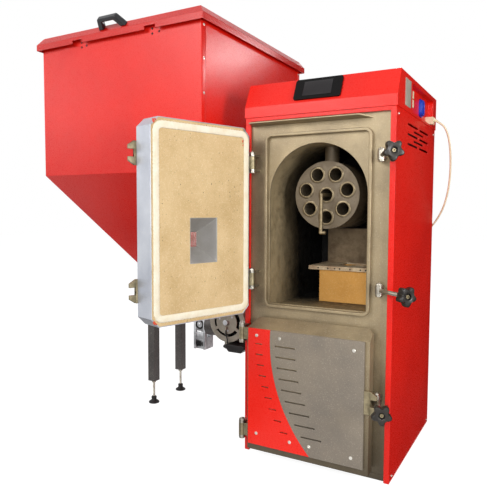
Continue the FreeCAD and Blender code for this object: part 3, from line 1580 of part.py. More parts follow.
# Combustion fan

wind_front = feeder_axis - s.wind_half
fan_front = wind_front - s.fan_depth
motor_face = fan_front - s.disc_gauge
fan_x = -(half + s.fan_side)


def spoke(inner, outer, width, angle):
    """A radial bar in the fan's plane."""
    along, across = (math.cos(angle), math.sin(angle)), (-math.sin(angle), math.cos(angle))
    points = []
    for radius, side in ((inner, -0.5), (outer, -0.5), (outer, 0.5), (inner, 0.5)):
        points.append((fan_x + radius * along[0] + width * (side * across[0]),
                       s.fan_level + radius * along[1] + width * (side * across[1])))
    return polygon(points)


def make_fan():
    """Wind box, scroll housing, rotor and the motor on the housing's mouth."""
    y = (wind_front, feeder_axis + s.wind_half)
    x = (-(half + s.wind_length), -half)
    gauge = s.wind_gauge
    shell = box("wind_shell", x, y, (s.wind_bottom, s.wind_top))
    hollow = box("wind_hollow", (x[0] + gauge, x[1] - gauge), (y[0] + gauge, y[1] - gauge),
                 (s.wind_bottom + gauge, s.wind_top - gauge))
    passage = rod("wind_passage", "X", (x[0], feeder_axis, s.burner_level), s.pipe_radius + s.seat_gap,
                  s.wind_length)
    node("wind_box", cut("wind", shell, [hollow, passage]))

    centre = (fan_x, s.fan_level)
    case = prism("fan_case", "XZ", [circle(*centre, s.fan_radius)], fan_front, wind_front)
    pocket(case, "XZ", [circle(*centre, s.fan_radius - s.fan_wall)], fan_front + s.fan_wall,
           wind_front - s.fan_back)
    node("fan_housing", pocket(case, "XZ", [circle(*centre, s.fan_mouth)], fan_front, fan_front + s.fan_wall))

    disc = wind_front - s.fan_back - s.rotor_back
    blade = disc - s.rotor_depth
    rotor = prism("rotor", "XZ", [circle(*centre, s.rotor_radius)], disc, disc + s.rotor_gauge)
    pad(rotor, "XZ", [circle(*centre, s.hub_radius)], blade, disc)
    pad(rotor, "XZ", [circle(*centre, s.fan_shaft)], motor_face + s.slide_gap, blade)
    count = round(s.rotor_blades.value)
    blades = [spoke(s.rotor_eye, s.rotor_radius - s.rotor_gauge, s.rotor_gauge, 2 * math.pi * i / count)
              for i in range(count)]
    node("fan_impeller", pad(rotor, "XZ", blades, blade, disc))

    motor = prism("fan_disc", "XZ", [circle(*centre, s.motor_disc)], motor_face, fan_front)
    arms = []
    for i in range(3):
        arms.append(spoke(s.motor_disc - s.arm_width, s.disc_arm, s.arm_width, math.pi * (0.5 + i * 2 / 3)))
    pad(motor, "XZ", arms, motor_face, fan_front)
    pocket(motor, "XZ", [circle(*centre, s.fan_shaft + s.turn_gap)], motor_face, fan_front)
    pad(motor, "XZ", [circle(*centre, s.hub_radius)], motor_face - s.hub_height, motor_face)
    boss = rectangle((fan_x - s.lead_boss_half, fan_x + s.lead_boss_half), (lead_top, lead_top + s.lead_boss))
    node("fan_motor", pad(motor, "XZ", [boss], motor_face - s.hub_height, motor_face))

    left, right = -(half + s.terminal_box_left), -(half + s.terminal_box_right)
    low, bevel = s.terminal_box_top - s.terminal_box_depth, s.terminal_box_chamfer
    outline = polygon([
        (left + bevel, low), (right - bevel, low), (right, low + bevel), (right, s.terminal_box_top),
        (left, s.terminal_box_top), (left, low + bevel)])
    node("junction_box", prism("junction", "XZ", [outline], wind_front - s.terminal_box_reach, wind_front))


lead_top = s.fan_level - s.lead_boss - s.lead_drop


# Leads

def cord_edges(points):
    """Straight runs joined by tangent arcs that take up most of the shorter run at each bend."""
    edges = []
    start = points[0]
    for before, corner, after in zip(points, points[1:], points[2:]):
        arrive, leave = corner - before, after - corner
        reach = 0.45 * min(arrive.Length, leave.Length)
        turn_angle = arrive.getAngle(leave)
        radius = reach / math.tan(turn_angle / 2)
        first = corner - FreeCAD.Vector(arrive).normalize() * reach
        last = corner + FreeCAD.Vector(leave).normalize() * reach
        inward = (first + last) * 0.5 - corner
        depth = radius / math.cos(turn_angle / 2) - radius
        middle = corner + inward.normalize() * depth
        edges.append(Part.LineSegment(start, first).toShape())
        edges.append(Part.Arc(first, middle, last).toShape())
        start = last
        print(f"bend radius {radius:.1f}")
    edges.append(Part.LineSegment(start, points[-1]).toShape())
    return edges


def make_lead(name, places, radius):
    """A round lead along its points."""
    points = [FreeCAD.Vector(*(dim(level).value for level in place)) for place in places]
    route = Part.Wire(cord_edges(points))
    ring = Part.Wire(Part.Circle(points[0], points[1] - points[0], radius.value).toShape())
    item = add("Part::Feature", name + "_shape")
    item.Shape = route.makePipeShell([ring], True, False)
    print(f"{name} length {route.Length:.1f}, volume {item.Shape.Volume:.0f},",
          f"section by length {math.pi * radius.value ** 2 * route.Length:.0f}")
    node(name, item)


FALL = [
    (0, 0, 0), (17, 4, -11), (29, 11, -33), (37, 23, -68), (40, 39, -120), (38, 56, -182), (30, 74, -244),
    (14, 93, -301), (-11, 112, -351), (-45, 132, -393)]
RETURN = [(93, 46.5, 36), (54, 59.5, 16), (19, 55.5, 5), (0, 31, 0), (0, 0, 0)]


def make_leads():
    """Fan lead, and the power lead from its plug in the bay to a gland at the back."""
    floor = s.terminal_box_top
    lead_y = motor_face - s.hub_height / 2
    drop = (lead_top - floor) / 3
    far = fan_x + s.lead_shift
    make_lead("fan_lead", [
        (fan_x, lead_y, lead_top), (fan_x, lead_y, lead_top - drop), (far, lead_y, floor + drop),
        (far, lead_y, floor)], s.lead_radius)

    plug_y = back - s.plug_back
    plug_z = bay_z[0] + s.plug_rise
    block = box("plug_block", (bay_floor, cap_side + s.plug_reach),
                (plug_y - s.plug_width / 2, plug_y + s.plug_width / 2), (plug_z, plug_z + s.plug_height))
    aim = FreeCAD.Vector(*FALL[1]).normalize()
    exit_point = (cap_side + s.cord_side, plug_y + s.cord_rear, bay_z[0] + s.cord_rise)
    relief = add("Part::Cone", "plug_relief")
    relief.Placement = FreeCAD.Placement(FreeCAD.Vector(), FreeCAD.Rotation(Z_AXIS, aim))
    bind(relief, "Radius1", s.relief_radius)
    bind(relief, "Radius2", s.cord_radius + s.slide_gap)
    bind(relief, "Height", s.relief_length)
    move(relief, *(place - s.relief_length * step for place, step in zip(exit_point, aim)))
    node("power_plug", fuse("plug", [block, relief]))

    gland = (s.gland_side, back, s.gland_level)
    node("cable_gland", rod("gland", "Y", gland, s.gland_radius, s.gland_reach))
    tip = (gland[0], back + s.gland_reach, gland[2])
    route = [tuple(a + b for a, b in zip(exit_point, step)) for step in FALL]
    route += [tuple(a + b for a, b in zip(tip, step)) for step in RETURN]
    make_lead("power_lead", route, s.cord_radius)


make_base()
make_side_panels()
make_rear_panel()
make_cap()
make_controls()
make_connector_bay()
make_vessel()
make_front()
make_bundle()
make_cleaning_rod()
make_burner()
make_ash_pan()
make_connections()
make_upper_door()
make_lower_door()
make_brackets()
make_bolt("top", bolt_high, s.angle_high)
make_bolt("middle", bolt_middle, s.angle_middle)
make_bolt("lower", s.bolt_low, s.angle_low)
make_hopper()
make_rim()
make_lid()
make_legs()
make_feeder()
make_drives()
make_fan()
make_leads()
doc.recompute()

# Every object must have been computed, and every sub-part must be a sound solid

for item in doc.Objects:
    if "Invalid" in item.State or "Error" in item.State:
        raise RuntimeError(f"{item.Label} was not computed: {item.State}")
for name, item in nodes.items():
    if item.Shape.isNull() or not item.Shape.isValid() or not item.Shape.Solids:
        raise RuntimeError(f"{name} is not a sound solid")

os.makedirs("parts", exist_ok=True)
for name, item in nodes.items():
    item.Shape.exportStep(f"parts/{name}.step")
print(f"{len(nodes)} sub-parts")
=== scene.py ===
import json
import math
import random

import bmesh
import bpy
from mathutils import Matrix, Vector


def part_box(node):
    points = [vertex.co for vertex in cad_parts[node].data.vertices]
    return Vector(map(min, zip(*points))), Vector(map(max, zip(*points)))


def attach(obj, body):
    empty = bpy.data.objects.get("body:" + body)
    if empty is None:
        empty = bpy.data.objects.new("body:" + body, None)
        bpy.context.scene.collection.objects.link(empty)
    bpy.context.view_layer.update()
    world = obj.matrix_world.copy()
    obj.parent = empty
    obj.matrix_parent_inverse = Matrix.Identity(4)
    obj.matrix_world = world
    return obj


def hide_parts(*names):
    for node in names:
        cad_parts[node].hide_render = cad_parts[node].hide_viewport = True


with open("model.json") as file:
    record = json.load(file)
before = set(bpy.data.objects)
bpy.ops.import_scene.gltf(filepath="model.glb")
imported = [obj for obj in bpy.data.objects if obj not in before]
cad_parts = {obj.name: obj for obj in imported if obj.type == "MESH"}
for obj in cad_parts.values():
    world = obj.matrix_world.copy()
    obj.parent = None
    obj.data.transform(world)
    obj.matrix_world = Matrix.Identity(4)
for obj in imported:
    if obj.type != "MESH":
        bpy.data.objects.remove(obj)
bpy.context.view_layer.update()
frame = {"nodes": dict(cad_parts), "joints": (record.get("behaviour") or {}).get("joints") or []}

# Looks of a pellet boiler and its hopper, over the solid model.
# Metres, +Z up, +X to the boiler's right, +Y to its back.

MM = 0.001
RANDOM_SEED = 7
NODES = frame["nodes"]
PART_FRAME = Matrix.Identity(4)
UP, RIGHT, BACK = Vector((0, 0, 1)), Vector((1, 0, 0)), Vector((0, 1, 0))
DOWN, LEFT, FORWARD = -UP, -RIGHT, -BACK

random.seed(RANDOM_SEED)


def find_joint(name):
    return next(joint for joint in frame["joints"] if joint["name"] == name)


def add_object(name, data):
    item = bpy.data.objects.new(name, data)
    bpy.context.scene.collection.objects.link(item)
    return item


# Camera, at the photograph's viewing angle

PHOTO_HEIGHT = 490
FOCAL_PIXELS = 547
SENSOR = 36
CAMERA_PLACE = (0.6564, -1.9010, 0.8280)
CAMERA_YAW = math.radians(29.54)
CAMERA_PITCH = math.radians(-3.68)
CAMERA_ROLL = math.radians(0.22)


def add_camera():
    lens = bpy.data.cameras.new("camera")
    lens.sensor_width = SENSOR
    lens.lens = FOCAL_PIXELS * SENSOR / PHOTO_HEIGHT
    camera = add_object("camera", lens)
    level = Matrix.Rotation(math.pi / 2 + CAMERA_PITCH, 4, "X") @ Matrix.Rotation(CAMERA_ROLL, 4, "Z")
    camera.matrix_world = Matrix.Translation(CAMERA_PLACE) @ Matrix.Rotation(CAMERA_YAW, 4, "Z") @ level
    bpy.context.scene.camera = camera


add_camera()


# Material nodes

class Finish:
    """A material whose layers are read in the object's own space."""

    def __init__(self, name):
        self.material = bpy.data.materials.new(name)
        self.material.use_nodes = True
        self.tree = self.material.node_tree
        self.tree.nodes.clear()
        self.place = self.add("ShaderNodeTexCoord").outputs["Object"]
        self.shader = self.add("ShaderNodeBsdfPrincipled")
        self.output = self.add("ShaderNodeOutputMaterial")
        self.tree.links.new(self.shader.outputs[0], self.output.inputs["Surface"])

    def add(self, kind, inputs=None, **settings):
        """A node with its settings, and with inputs given by name or number."""
        node = self.tree.nodes.new(kind)
        for key, value in settings.items():
            setattr(node, key, value)
        for key, value in (inputs or {}).items():
            self.put(node.inputs[key], value)
        return node

    def put(self, socket, value):
        """Links another node's output to a socket, or sets the socket to a constant."""
        if isinstance(value, bpy.types.NodeSocket):
            self.tree.links.new(value, socket)
        else:
            socket.default_value = value

    def set(self, **values):
        """Shader inputs by name, with _ for a space."""
        for name, value in values.items():
            self.put(self.shader.inputs[name.replace("_", " ")], value)

    def stretched(self, scale):
        return self.add("ShaderNodeMapping", {"Vector": self.place, "Scale": scale}).outputs[0]

    def noise(self, scale, detail=2.0, roughness=0.5, at=None):
        inputs = {"Vector": at or self.place, "Scale": scale, "Detail": detail, "Roughness": roughness}
        return self.add("ShaderNodeTexNoise", inputs).outputs["Fac"]

    def cells(self, scale, feature="F1"):
        inputs = {"Vector": self.place, "Scale": scale}
        return self.add("ShaderNodeTexVoronoi", inputs, feature=feature).outputs["Distance"]

    def axis(self, letter):
        return self.add("ShaderNodeSeparateXYZ", {0: self.place}).outputs[letter]

    def span(self, value, low, high, start=0.0, end=1.0):
        """value from low..high, clamped, as start..end."""
        inputs = {"Value": value, "From Min": low, "From Max": high, "To Min": start, "To Max": end}
        return self.add("ShaderNodeMapRange", inputs).outputs["Result"]

    def combine(self, first, second, operation="ADD"):
        return self.add("ShaderNodeMath", {0: first, 1: second}, operation=operation).outputs[0]

    def mix(self, share, first, second):
        """A blend of two colours, which are the mix node's inputs 6 and 7."""
        inputs = {"Factor": share, 6: first, 7: second}
        return self.add("ShaderNodeMix", inputs, data_type="RGBA").outputs[2]

    def bump(self, height, depth, strength):
        inputs = {"Height": height, "Distance": depth, "Strength": strength}
        self.put(self.shader.inputs["Normal"], self.add("ShaderNodeBump", inputs).outputs[0])


def rgb(red, green, blue):
    """An sRGB colour of 0 to 255 as a linear one."""
    linear = []
    for part in (red, green, blue):
        share = part / 255
        linear.append(share / 12.92 if share <= 0.04045 else ((share + 0.055) / 1.055) ** 2.4)
    return (*linear, 1.0)


# Pale flakes: partly the paint's own flake, partly painted glint
PAINT_FLAKE_AND_GLINT = rgb(235, 228, 210)
PAINT_GRIME = rgb(78, 66, 50)
# Painted shade for hammer paint near the floor
PAINT_FLOOR_SHADE = rgb(40, 34, 26)
BOARD_PIT = rgb(92, 74, 50)
STEEL_DUST = rgb(150, 138, 118)
STEEL_RUST = rgb(88, 70, 50)
YARN_BINDER = rgb(205, 176, 130)


def powder_coat(name, colour, deep, roughness=0.3):
    """Baked powder paint with a fine orange-peel grain."""
    finish = Finish(name)
    grain = finish.noise(430)
    drift = finish.noise(4, detail=3)
    tone = finish.mix(finish.span(drift, 0.3, 0.7), colour, deep)
    gloss = finish.span(grain, 0.3, 0.7, roughness - 0.07, roughness + 0.07)
    finish.set(Base_Color=tone, Roughness=gloss, Specular_IOR_Level=0.35)
    finish.bump(grain, 0.7 * MM, 0.6)
    return finish.material


def hammered_paint(name, colour, deep, metal, roughness, soil=0.0, shade_top=0.0):
    """Metallic hammer paint: dimples, pale flakes that are partly painted glint, some grime, and painted
    shade from a level down to the floor.
    """
    finish = Finish(name)
    dimple = finish.cells(340, "SMOOTH_F1")
    flake = finish.noise(250, detail=4, roughness=0.8)
    drift = finish.noise(7, detail=4, roughness=0.6)
    tone = finish.mix(finish.span(drift, 0.35, 0.68), colour, deep)
    # Pale flake specks: partly the paint's own flake, partly painted glint.
    tone = finish.mix(finish.span(flake, 0.56, 0.72, 0, 0.35), tone, PAINT_FLAKE_AND_GLINT)
    if soil:
        patch = finish.noise(16, detail=5, roughness=0.7)
        tone = finish.mix(finish.span(patch, 0.52, 0.75, 0, soil), tone, PAINT_GRIME)
    if shade_top:
        # Painted shade: darker from the given level down to the floor, where the base lies in shadow.
        level = finish.combine(finish.axis("Z"), finish.span(drift, 0.3, 0.7, -0.03, 0.03))
        tone = finish.mix(finish.span(level, 0, shade_top, 0.82, 0), tone, PAINT_FLOOR_SHADE)
    gloss = finish.span(flake, 0.3, 0.7, roughness - 0.06, roughness + 0.1)
    finish.set(Base_Color=tone, Metallic=metal, Roughness=gloss)
    relief = finish.combine(dimple, finish.span(flake, 0, 1, 0, 0.25))
    finish.bump(relief, 0.7 * MM, 0.55)
    return finish.material


def bare_metal(name, colour, deep, roughness, brush=None):
    """Plated or cast metal with faint stains, and brushing where a scale is given."""
    finish = Finish(name)
    stain = finish.noise(60, detail=4, roughness=0.6)
    fine = finish.noise(900, at=finish.stretched(brush) if brush else None)
    tone = finish.mix(finish.span(stain, 0.4, 0.75), colour, deep)
    gloss = finish.span(finish.combine(fine, stain), 0.6, 1.4, roughness - 0.08, roughness + 0.12)
    finish.set(Base_Color=tone, Metallic=1.0, Roughness=gloss)
    finish.bump(fine, 0.15 * MM, 0.5)
    return finish.material


def moulded(name, colour, pale, roughness, grain=1200):
    """Moulded plastic or rubber with a fine spark-eroded grain."""
    finish = Finish(name)
    pit = finish.noise(grain)
    drift = finish.noise(18, detail=3)
    tone = finish.mix(finish.span(drift, 0.35, 0.75), colour, pale)
    gloss = finish.span(pit, 0.3, 0.7, roughness - 0.06, roughness + 0.08)
    finish.set(Base_Color=tone, Roughness=gloss, Specular_IOR_Level=0.35)
    finish.bump(pit, 0.12 * MM, 0.5)
    return finish.material


def mineral_board(name, colour, dark, pale):
    """Pressed vermiculite: golden flakes, pale grains and a few dark pits."""
    finish = Finish(name)
    flakes = finish.cells(300)
    grains = finish.noise(230, detail=4, roughness=0.8)
    cloud = finish.noise(9, detail=4, roughness=0.6)
    pits = finish.span(finish.noise(170), 0.68, 0.76, 0, 0.75)
    tone = finish.mix(finish.span(cloud, 0.35, 0.7), colour, dark)
    tone = finish.mix(finish.span(grains, 0.52, 0.72, 0, 0.7), tone, pale)
    tone = finish.mix(finish.span(flakes, 0.02, 0.22, 0.6, 0), tone, dark)
    tone = finish.mix(pits, tone, BOARD_PIT)
    finish.set(Base_Color=tone, Roughness=0.93, Specular_IOR_Level=0.2)
    finish.bump(finish.combine(grains, pits, "SUBTRACT"), 1.1 * MM, 0.6)
    return finish.material


def fired_steel(name, colour, soot_and_shade, clean_to, black_from, roughness=0.62):
    """Painted or bare steel that turns dark from one depth to another, along Y: partly sooty, partly painted
    shade deeper in.
    """
    finish = Finish(name)
    fine = finish.noise(700, detail=3, roughness=0.6)
    ragged = finish.noise(14, detail=5, roughness=0.65)
    rust = finish.noise(34, detail=4, roughness=0.7)
    rubbed = finish.noise(38, detail=4, roughness=0.6)
    depth = finish.combine(finish.axis("Y"), finish.span(ragged, 0.2, 0.8, -0.05, 0.05))
    tone = finish.mix(finish.span(fine, 0.4, 0.75, 0, 0.4), colour, STEEL_DUST)
    tone = finish.mix(finish.span(rust, 0.5, 0.78, 0, 0.45), tone, STEEL_RUST)
    # Darker deeper in along Y: partly sooty, partly painted shade inside the chamber and tubes.
    tone = finish.mix(finish.span(depth, clean_to, black_from), tone, soot_and_shade)
    worn = finish.combine(finish.span(rubbed, 0.48, 0.62, 0, -0.3), finish.span(fine, 0.3, 0.7, 0, 0.2))
    finish.set(Base_Color=tone, Metallic=0.35, Roughness=finish.combine(worn, roughness))
    finish.bump(fine, 0.6 * MM, 0.6)
    return finish.material


def heat_tinted(name, colour, tint, ash):
    """Steel that fire has browned, with pale ash specks."""
    finish = Finish(name)
    patch = finish.noise(24, detail=5, roughness=0.65)
    specks = finish.noise(420, detail=3, roughness=0.7)
    tone = finish.mix(finish.span(patch, 0.38, 0.66), colour, tint)
    tone = finish.mix(finish.span(specks, 0.58, 0.7, 0, 0.7), tone, ash)
    finish.set(Base_Color=tone, Metallic=0.35, Roughness=finish.span(specks, 0.3, 0.7, 0.5, 0.85))
    finish.bump(specks, 0.8 * MM, 0.6)
    return finish.material


def fibre(name, colour, shade):
    """White glass-fibre yarn."""
    finish = Finish(name)
    hair = finish.noise(2200, detail=3, roughness=0.7)
    drift = finish.noise(26, detail=4, roughness=0.6)
    tone = finish.mix(finish.span(drift, 0.35, 0.75, 0, 0.7), colour, shade)
    tone = finish.mix(finish.span(hair, 0.5, 0.75, 0, 0.35), tone, YARN_BINDER)
    finish.set(Base_Color=tone, Roughness=0.95, Sheen_Weight=0.2, Specular_IOR_Level=0.15)
    finish.bump(hair, 0.5 * MM, 0.6)
    return finish.material


def clear_glass(name, colour, smoke):
    """Heat-proof pane with a trace of smoke on it."""
    finish = Finish(name)
    smear = finish.noise(55, detail=4, roughness=0.6)
    tone = finish.mix(finish.span(smear, 0.4, 0.8), colour, smoke)
    gloss = finish.span(smear, 0.4, 0.8, 0.0, 0.03)
    finish.set(Base_Color=tone, Roughness=gloss, Transmission_Weight=0.92, IOR=1.47)
    return finish.material


def dark_display(name, colour, shade):
    """Polished black display glass with faint dust."""
    finish = Finish(name)
    dust = finish.noise(1400)
    wiped = finish.noise(20, detail=3)
    tone = finish.mix(finish.span(dust, 0.6, 0.8, 0, 0.5), colour, shade)
    gloss = finish.span(wiped, 0.3, 0.7, 0.16, 0.26)
    finish.set(Base_Color=tone, Roughness=gloss, Specular_IOR_Level=0.12)
    return finish.material


def silicone(name, colour, pale):
    """High-temperature sealant, squeezed out unevenly."""
    finish = Finish(name)
    lump = finish.noise(300, detail=3)
    finish.set(Base_Color=finish.mix(lump, colour, pale), Roughness=0.5)
    finish.bump(lump, 0.8 * MM, 0.6)
    return finish.material


RED = powder_coat("red_coat", rgb(232, 32, 18), rgb(218, 25, 13))
# A darker copy of the red for the hopper's lid and rim: painted shade.
SHADED_LID_RED = powder_coat("lid_red_shaded_coat", rgb(206, 28, 17), rgb(194, 22, 12))
# A brighter copy of the red for the lower door's cover: painted light.
LIT_COVER_RED = powder_coat("cover_red_lit_coat", rgb(252, 42, 28), rgb(242, 35, 21))
# The grey paint darkens towards the floor: painted shade.
GREY = hammered_paint("grey_coat", rgb(160, 143, 112), rgb(132, 117, 91), 0.42, 0.4, 0.25, shade_top=0.36)
COVER_GREY = hammered_paint("cover_grey_coat", rgb(140, 129, 114), rgb(124, 115, 104), 0.3, 0.45)
SILVER = hammered_paint("silver_coat", rgb(200, 203, 210), rgb(174, 178, 188), 0.55, 0.4)
# The chamber and the tubes darken with depth: partly sooty, partly painted shade.
CHAMBER = fired_steel("chamber_steel", rgb(152, 134, 100), rgb(18, 15, 12), -0.23, -0.03)
BUNDLE = fired_steel("bundle_steel", rgb(108, 95, 76), rgb(10, 9, 8), -0.125, -0.04, 0.5)
ZINC = bare_metal("zinc", rgb(176, 171, 160), rgb(130, 123, 110), 0.36)
BRIGHT_ZINC = bare_metal("bright_zinc", rgb(222, 219, 211), rgb(172, 166, 154), 0.3)
PASSIVATED = bare_metal("passivated_zinc", rgb(150, 139, 112), rgb(112, 102, 80), 0.46)
ROD_STEEL = bare_metal("rod_steel", rgb(140, 126, 100), rgb(100, 88, 68), 0.5, brush=(1, 1, 0.05))
SLEEVE = hammered_paint("sleeve_coat", rgb(188, 186, 184), rgb(160, 156, 150), 0.5, 0.34)
HEATED = heat_tinted("heated_steel", rgb(214, 196, 164), rgb(164, 134, 104), rgb(232, 220, 196))
BAFFLE = heat_tinted("fired_iron", rgb(152, 132, 104), rgb(114, 95, 72), rgb(176, 157, 128))
ALUMINIUM = bare_metal("cast_aluminium", rgb(205, 206, 208), rgb(150, 150, 152), 0.38)
FAN_GREY = hammered_paint("fan_coat", rgb(156, 148, 134), rgb(122, 114, 102), 0.4, 0.5, 0.3)
LINING = mineral_board("door_lining", rgb(222, 193, 146), rgb(202, 171, 122), rgb(244, 226, 190))
BOARD = mineral_board("burner_board", rgb(236, 178, 98), rgb(218, 159, 82), rgb(245, 205, 138))
ROPE = fibre("fibre_rope", rgb(250, 243, 222), rgb(232, 214, 178))
GLASS = clear_glass("heat_glass", rgb(250, 246, 238), rgb(214, 190, 160))
BLACK = moulded("black_plastic", rgb(22, 20, 19), rgb(36, 33, 31), 0.42)
KNOB_BLACK = moulded("knob_plastic", rgb(28, 25, 22), rgb(46, 41, 36), 0.36)
HANDLE_BLACK = moulded("handle_plastic", rgb(24, 24, 27), rgb(38, 38, 43), 0.2)
RUBBER = moulded("black_rubber", rgb(18, 17, 17), rgb(34, 32, 31), 0.6)
BEZEL = dark_display("display_bezel", rgb(12, 11, 11), rgb(52, 46, 44))
SCREEN = dark_display("display_screen", rgb(44, 42, 43), rgb(78, 74, 74))
BLUE = moulded("blue_plastic", rgb(22, 50, 168), rgb(34, 74, 196), 0.34)
CREAM = moulded("cream_plastic", rgb(236, 222, 190), rgb(220, 202, 164), 0.45)
LEAD = moulded("cream_lead", rgb(238, 224, 192), rgb(226, 208, 172), 0.48, grain=900)
BLACK_LEAD = moulded("black_lead", rgb(20, 19, 19), rgb(36, 34, 33), 0.45)
LEG = hammered_paint("leg_coat", rgb(84, 80, 78), rgb(66, 62, 60), 0.2, 0.46)
LABEL = moulded("blank_label", rgb(168, 160, 146), rgb(148, 140, 126), 0.5)
WELD = bare_metal("weld_bead", rgb(120, 108, 88), rgb(84, 74, 60), 0.4)
SEALANT = silicone("red_silicone", rgb(196, 48, 26), rgb(226, 92, 52))
PLATE_STEEL = bare_metal("galvanised", rgb(176, 176, 172), rgb(146, 144, 138), 0.42)
FLAG_CLOTH = moulded("flag_cloth", rgb(26, 20, 20), rgb(38, 30, 30), 0.95)


# The solids of each finish, with the width in millimetres that their edges are rounded by

FINISHES = [
    (RED, {"side_panel_left": 1.2, "side_panel_right": 1.2, "rear_panel": 0.6, "top_cover": 1.6,
           "connector_plate": 1.0, "hopper_walls": 0.8, "hopper_slopes": 0.8}),
    (SHADED_LID_RED, {"hopper_rim": 0, "hopper_lid": 1.0}),
    (LIT_COVER_RED, {"cover_red": 0.9}),
    (GREY, {"base_plate": 1.0, "front_plate": 1.0, "seal_lips": 2.5, "door_hood": 1.0,
            "lower_door_shell": 2.0}),
    (COVER_GREY, {"cover_grey": 0.9}),
    (SILVER, {"upper_door_shell": 1.6}),
    (CHAMBER, {"boiler_vessel": 0}),
    (BUNDLE, {"exchanger_drum": 1.5, "fire_tubes": 1.0}),
    (ZINC, {"water_nipples": 0.8, "door_brackets": 0.8, "eyebolt_top": 0.7, "eyebolt_middle": 0.7,
            "eyebolt_lower": 0.7, "feed_auger": 0, "burner_auger": 0}),
    (PASSIVATED, {"upper_door_fittings": 0.8, "lower_door_fittings": 0.8}),
    (ROD_STEEL, {"cleaning_rod": 0}),
    (SLEEVE, {"sight_sleeve": 0.5}),
    (HEATED, {"burner_retort": 0.8}),
    (BAFFLE, {"rear_baffle": 1.0}),
    (PLATE_STEEL, {"ash_pan": 0.6}),
    (ALUMINIUM, {"gear_motors": 1.0}),
    (FAN_GREY, {"wind_box": 1.0, "fan_housing": 2.0, "fan_motor": 1.0}),
    (LEG, {"flue_spigot": 0.8, "hopper_legs": 1.5, "feed_trough": 0.8}),
    (LINING, {"upper_door_insulation": 1.4, "lower_door_insulation": 1.0}),
    (BOARD, {"burner_boards": 1.2}),
    (GLASS, {"sight_glass": 0.4}),
    (BEZEL, {"control_panel": 0.6}),
    (BLACK, {"fan_impeller": 0.4, "junction_box": 1.6, "cable_gland": 1.5}),
    (HANDLE_BLACK, {"lid_handle": 4.5}),
    (CREAM, {"power_plug": 1.6})]
WELD_GAP = 0.01 * MM
FLAT_ANGLE = math.radians(0.4)
EDGE_ANGLE = math.radians(18)
EDGE_SEGMENTS = 2


def soften(item, width):
    """Rounds a solid's sharp edges and shades the rest smoothly."""
    if "custom_normal" in item.data.attributes:
        item.data.attributes.remove(item.data.attributes["custom_normal"])
    item.data.shade_smooth()
    weld = item.modifiers.new("weld", "WELD")
    weld.merge_threshold = WELD_GAP
    flat = item.modifiers.new("flat", "DECIMATE")
    flat.decimate_type = "DISSOLVE"
    flat.angle_limit = FLAT_ANGLE
    edge = item.modifiers.new("edge", "BEVEL")
    edge.width = width
    edge.segments = EDGE_SEGMENTS
    edge.limit_method = "ANGLE"
    edge.angle_limit = EDGE_ANGLE
    edge.harden_normals = True
    edge.use_clamp_overlap = True


def dress_solids():
    for material, widths in FINISHES:
        for name, width in widths.items():
            item = NODES[name]
            item.data.materials.clear()
            item.data.materials.append(material)
            if width:
                soften(item, width * MM)


dress_solids()


# Mesh helpers

FINE_SIDES = 32
CORNER_STEPS = 12
TINY = 1e-9


def aim(place, direction, around=0.0):
    """A frame at place whose Z points along direction."""
    turned = Vector(direction).to_track_quat("Z", "Y").to_matrix().to_4x4()
    return Matrix.Translation(place) @ turned @ Matrix.Rotation(around, 4, "Z")


def polar(radius, angle, height):
    return Vector((radius * math.cos(angle), radius * math.sin(angle), height))


def bridge(bm, first, second):
    """Faces between two rings, either of which may be one point."""
    count = max(len(first), len(second))
    for i in range(count):
        j = (i + 1) % count
        if len(first) == 1:
            bm.faces.new((first[0], second[j], second[i]))
        elif len(second) == 1:
            bm.faces.new((first[i], first[j], second[0]))
        else:
            bm.faces.new((first[i], first[j], second[j], second[i]))


def join_rings(bm, rings, closed=False):
    """Faces from each ring to the next, and from the last to the first where closed."""
    for first, second in zip(rings, rings[1:] + (rings[:1] if closed else [])):
        bridge(bm, first, second)


def hexagon(angle):
    """A hexagon's radius at an angle, as a share of its circle."""
    return math.cos(math.pi / 6) / math.cos(angle % (math.pi / 3) - math.pi / 6)


def ring_points(bm, place, radius, height, sides, outline):
    """Points about a frame's Z, or one point on it where the radius is zero."""
    if not radius:
        return [bm.verts.new(place @ Vector((0, 0, height)))]
    points = []
    for i in range(sides):
        angle = 2 * math.pi * i / sides
        reach = radius * (outline(angle) if outline else 1)
        points.append(bm.verts.new(place @ polar(reach, angle, height)))
    return points


def lathe(bm, place, profile, sides=24, shape=None, closed=False, unit=1.0):
    """Rings of (radius, height) in a unit about a frame's Z, joined in order. A ring with a third entry
    takes that outline, and the others the shape given. A closed profile joins its last ring to its first."""
    rings = []
    for radius, height, *own in profile:
        outline = own[0] if own else shape
        rings.append(ring_points(bm, place, radius * unit, height * unit, sides, outline))
    join_rings(bm, rings, closed)


def block(bm, place, low, high, round_off):
    """A box in a frame with rounded edges."""
    made = bmesh.ops.create_cube(bm, size=1)["verts"]
    low, high = Vector(low), Vector(high)
    for vert in made:
        share = vert.co + Vector((0.5, 0.5, 0.5))
        vert.co = Vector(low[i] + (high[i] - low[i]) * share[i] for i in range(3))
    edges = list({edge for vert in made for edge in vert.link_edges})
    result = bmesh.ops.bevel(bm, geom=edges, offset=round_off, segments=2, affect="EDGES", profile=0.5)
    corners = {vert for face in result["faces"] for vert in face.verts}
    corners.update(vert for vert in made if vert.is_valid)
    bmesh.ops.transform(bm, matrix=place, verts=list(corners))


def sweep(bm, points, section, out):
    """A section of (across, rise) swept round a closed line; rise follows out, and across lies beside it."""
    rings = []
    for i, point in enumerate(points):
        ahead = (points[(i + 1) % len(points)] - points[i - 1]).normalized()
        beside = ahead.cross(out).normalized()
        rings.append([bm.verts.new(point + beside * across + out * rise) for across, rise in section(i)])
    join_rings(bm, rings, closed=True)


